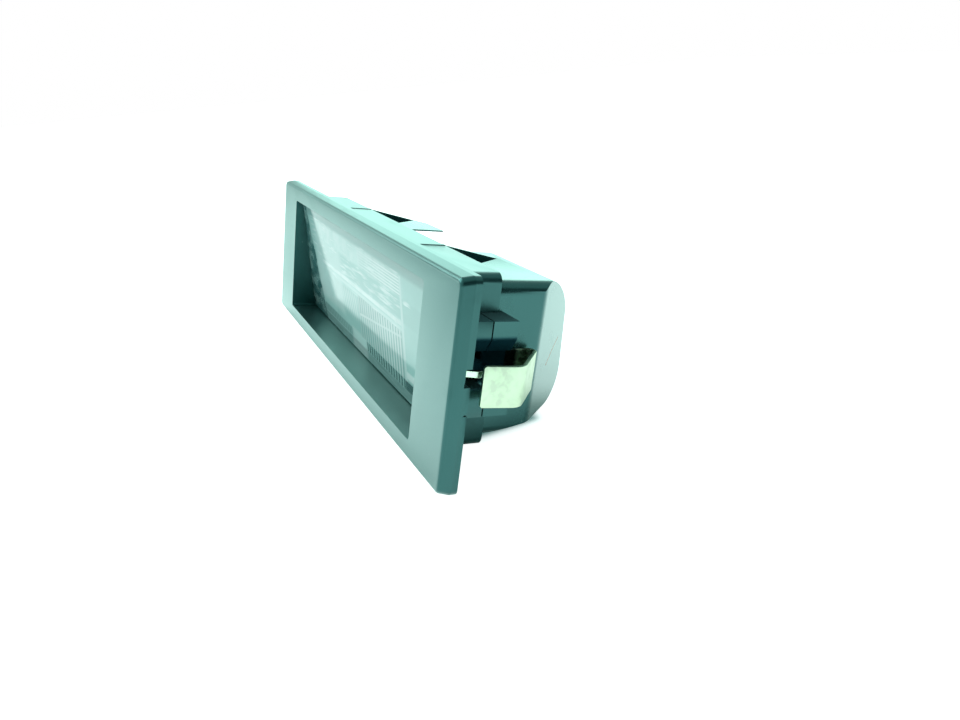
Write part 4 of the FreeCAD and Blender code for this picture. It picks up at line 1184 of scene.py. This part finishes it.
@dataclass
class FestoonBulb:
    """The clear festoon bulb: glass, two caps, a coiled filament and its lead wires."""

    axis: Range = (10.0, -0.4)
    glass_radius: float = 4.9
    wall: float = 0.5
    half: float = 9.2
    neck_radius: float = 3.0
    neck_start: float = 11.6
    glass_end: float = 13.6
    cap_radius: float = 3.7
    cap_start: float = 11.9
    cap_shoulder: float = 15.6
    bulb_half: float = 18.2
    tip_radius: float = 0.9
    filament_half: float = 4.2
    coil_radius: float = 0.33
    coil_wire: float = 0.07
    coil_turns: int = 24
    lead_radius: float = 0.2
    lead_inset: float = 1.0
    lead_bow: float = 0.5
    coil_bow: float = 0.15
    coil_steps: int = 16
    coil_taper: float = 25.0
    glass_steps: int = 96
    cap_steps: int = 72
    cap_angle: float = 35.0
    shoulder_points: int = 22
    bend_points: int = 7
    lead_points: int = 40
    cap_gap: float = 0.1
    cap_rim: float = 0.12
    cap_bend: float = 0.35
    nose_length: float = 0.45
    nose_reach: float = 0.2

    def centre(self) -> Point:
        """The bulb's middle."""
        return (0.0, *self.axis)

    def glass_line(self, inset: float) -> np.ndarray:
        """Half of the glass's outline, from its middle to its end, with round shoulders.

        Between the straight barrel and the neck the radius follows half a cosine wave.
        """
        run = np.linspace(0, 1, self.shoulder_points)
        shoulder_x = self.half + (self.neck_start - self.half) * run
        drop = (self.glass_radius - self.neck_radius) * (1 - np.cos(math.pi * run)) / 2
        shoulder = np.stack([shoulder_x, self.glass_radius - drop - inset], axis=1)
        end = np.array([[self.glass_end, self.neck_radius - inset]])
        return np.concatenate([np.array([[0.0, self.glass_radius - inset]]), shoulder, end])

    def build(self, finishes: Finishes) -> None:
        """Make the bulb's pieces."""
        outer = self.glass_line(0.0)
        inner = self.glass_line(self.wall)
        inner[-1, 0] -= 2 * self.wall
        mirror = np.array([-1.0, 1.0])
        outside = np.concatenate([(outer * mirror)[::-1], outer[1:]])
        inside = np.concatenate([(inner * mirror)[::-1], inner[1:]])
        shell = np.concatenate([[[-self.glass_end, 0]], outside, [[self.glass_end, 0]]])
        space = np.concatenate([[[inside[0, 0], 0]], inside, [[inside[-1, 0], 0]]])
        glass = turned("bulb_envelope", shell, self.centre(), self.glass_steps)
        hollow = turned("bulb_space", space, self.centre(), self.glass_steps)
        with edited(glass.data) as joined:
            first = len(joined.faces)
            joined.from_mesh(hollow.data)
            joined.faces.ensure_lookup_table()
            bmesh.ops.reverse_faces(joined, faces=joined.faces[first:])
        bpy.data.objects.remove(hollow)
        finishes.finish(glass, "bulb_clear_glass", ("bulb_glass",))
        for side, label in ((1, "near"), (-1, "far")):
            cap = turned("bulb_cap_" + label + "_turned", self.cap_profile() * (side, 1),
                         self.centre(), self.cap_steps, self.cap_angle)
            finishes.finish(cap, "cap_metal", ("bulb_cap_" + label,))
            lead = swept_wire("bulb_lead_" + label + "_wire", self.lead_path(side),
                              self.lead_radius)
            finishes.finish(lead, "wire_metal", ("bulb_lead_" + label,))
        coil = swept_wire("filament_coil", self.coil_path(), self.coil_wire, 8)
        finishes.finish(coil, "wire_metal", ("bulb_filament",))

    def cap_profile(self) -> np.ndarray:
        """A cap's outline: rolled rim, straight cup, round shoulder, cone and round nose."""
        bore = self.neck_radius + self.cap_gap
        floor = self.glass_end + self.cap_gap
        bend = self.cap_bend
        angle = np.linspace(0, 1, self.bend_points) * math.pi / 2
        shoulder = np.stack([self.cap_shoulder - bend + bend * np.sin(angle),
                             self.cap_radius - bend + bend * np.cos(angle)], axis=1)
        nose = np.stack([self.bulb_half - self.nose_length * (1 - np.sin(angle))
                         + self.nose_reach, self.tip_radius * np.cos(angle)], axis=1)
        start = [[self.cap_start, bore], [self.cap_start, self.cap_radius - self.cap_rim],
                 [self.cap_start + self.cap_rim, self.cap_radius]]
        return np.concatenate([start, shoulder, nose, [[floor, 0], [floor, bore],
                                                       [self.cap_start, bore]]])

    def lead_path(self, side: int) -> np.ndarray:
        """A lead's line from the glass's end to the coil, bowed down by half a sine wave."""
        run = np.linspace(0, 1, self.lead_points)
        start = self.glass_end - self.lead_inset
        x = side * (start + (self.filament_half - start) * run)
        z = self.axis[1] - self.lead_bow * np.sin(math.pi * run)
        return np.stack([x, np.full_like(run, self.axis[0]), z], axis=1)

    def coil_path(self) -> np.ndarray:
        """The filament's helix, which ends on the axis at both leads."""
        run = np.linspace(0, 1, self.coil_turns * self.coil_steps)
        angle = 2 * math.pi * self.coil_turns * run
        size = self.coil_radius * np.clip(np.minimum(run, 1 - run) * self.coil_taper, 0, 1)
        x = self.filament_half * (2 * run - 1)
        y = self.axis[0] + size * np.cos(angle)
        z = self.axis[1] + size * np.sin(angle) - self.coil_bow * np.sin(math.pi * run)
        return np.stack([x, y, z], axis=1)


@dataclass
class Studio:
    """Camera, floor, lamps and the white surroundings."""

    focal: float = 716.44
    frame_width: float = 960.0
    sensor: float = 36.0
    eye: Point = (107.37, -35.45, 28.22)
    right: Point = (0.4459, 0.8868, 0.1214)
    down: Point = (0.3309, -0.0373, -0.9429)
    ahead: Point = (-0.8317, 0.4606, -0.3101)
    front_foot: Range = (0.0, -13.1)
    rear_foot: Range = (17.0, -9.4)
    floor_half: float = 900.0
    floor_gap: float = 0.05
    near: float = 0.005
    far: float = 20.0
    sky: Colour = (0.71, 1.0, 0.95)
    sky_base: float = 0.6
    sky_seen: float = 0.4
    dim_x: Range = (0.3, 0.62)
    dim_z: Range = (-0.05, 0.1)
    dim_share: float = 0.97
    overhead_z: Range = (0.35, 0.8)
    overhead_share: Range = (0.38, 0.5)

    def build(self) -> None:
        """Place everything that isn't the lamp."""
        self.camera()
        self.floor()
        self.lamps()
        self.world()

    def camera(self) -> None:
        """The camera at the photograph's angle."""
        data = bpy.data.cameras.new("camera")
        data.sensor_width = self.sensor
        data.lens = self.focal / self.frame_width * self.sensor
        data.clip_start = self.near
        data.clip_end = self.far
        camera = linked("camera", data)
        turn = Matrix((self.right, tuple(-c for c in self.down), tuple(-c for c in self.ahead)))
        camera.matrix_world = (Matrix.Translation(Vector(self.eye) * MM)
                               @ turn.transposed().to_4x4())
        bpy.context.scene.camera = camera

    def floor(self) -> None:
        """A plane through the two lower edges that the lamp rests on."""
        front_y, front_z = self.front_foot
        slope = (self.rear_foot[1] - front_z) / (self.rear_foot[0] - front_y)
        x, y = self.floor_half * np.array([[-1.0, 1.0, 1.0, -1.0], [-1.0, -1.0, 1.0, 1.0]])
        corners = np.stack([x, y, front_z + slope * (y - front_y) - self.floor_gap], axis=1)
        floor = object_from("floor", corners, [np.array([[0, 1, 2, 3]])])
        floor.data.materials.append(PaleFloor().material())

    def lamps(self) -> None:
        """Large soft boxes before the frame and behind the housing's far end."""
        self.soft_box("front_left", (-260, -300, 240), (0, 0, 0), 400, 1.3, (0.80, 1.0, 0.98))
        self.soft_box("behind", (-420, 260, 170), (10, 10, 0), 420, 0.72, (0.66, 1.0, 0.93))

    def soft_box(self, name: str, place: Point, aim: Point, size: float, power: float,
                 tint: Colour) -> None:
        """A square area lamp that faces a point.

        Args:
            name: The lamp's name.
            place: Its centre.
            aim: The point it faces.
            size: Length of its side.
            power: Its power in watts.
            tint: Its colour.
        """
        data = bpy.data.lights.new(name, "AREA")
        data.size = size * MM
        data.energy = power
        data.color = tint
        lamp = linked(name, data)
        start = Vector(place) * MM
        lamp.matrix_world = (Matrix.Translation(start)
                             @ (start - Vector(aim) * MM).to_track_quat("Z", "Y")
                             .to_matrix().to_4x4())

    def world(self) -> None:
        """White surroundings: plain to sight, and softer as light."""
        world = bpy.data.worlds.new("surroundings")
        world.use_nodes = True
        world.node_tree.nodes.clear()
        nodes = Nodes(world.node_tree)
        path = nodes.add("LightPath")
        height = nodes.add("SeparateXYZ", Vector=nodes.add("TexCoord").outputs["Generated"])
        x, z = height.outputs["X"], height.outputs["Z"]
        near_side = nodes.product(nodes.ranged(x, *self.dim_x), nodes.ranged(z, *self.dim_z),
                                  self.dim_share)
        overhead = nodes.ranged(z, *self.overhead_z, *self.overhead_share)
        dim = nodes.product(nodes.highest(near_side, overhead), path.outputs["Is Glossy Ray"])
        plain = nodes.math("MULTIPLY_ADD", nodes.sight(path), self.sky_seen, self.sky_base)
        tint = nodes.mix(path.outputs["Is Camera Ray"], self.sky, WHITE)
        back = nodes.add("Background", Color=tint, Strength=nodes.product(nodes.rest(dim), plain))
        nodes.add("OutputWorld", Surface=back.outputs[0])
        bpy.context.scene.world = world


def main() -> None:
    """Build the lamp's pieces in order, then its surroundings."""
    logging.basicConfig(level=logging.INFO, format="%(name)s %(message)s")
    scene = bpy.context.scene
    scene.view_settings.view_transform = "Standard"
    finishes = Finishes()
    finishes.build()
    for node in frame["nodes"]:
        finishes.dress_node(node)
    Mouldings().build(finishes)
    FlutedLens().build(finishes)
    Reflector().build(finishes)
    SpringClip().build(finishes)
    FestoonBulb().build(finishes)
    Studio().build()


if __name__ == "__main__":
    main()
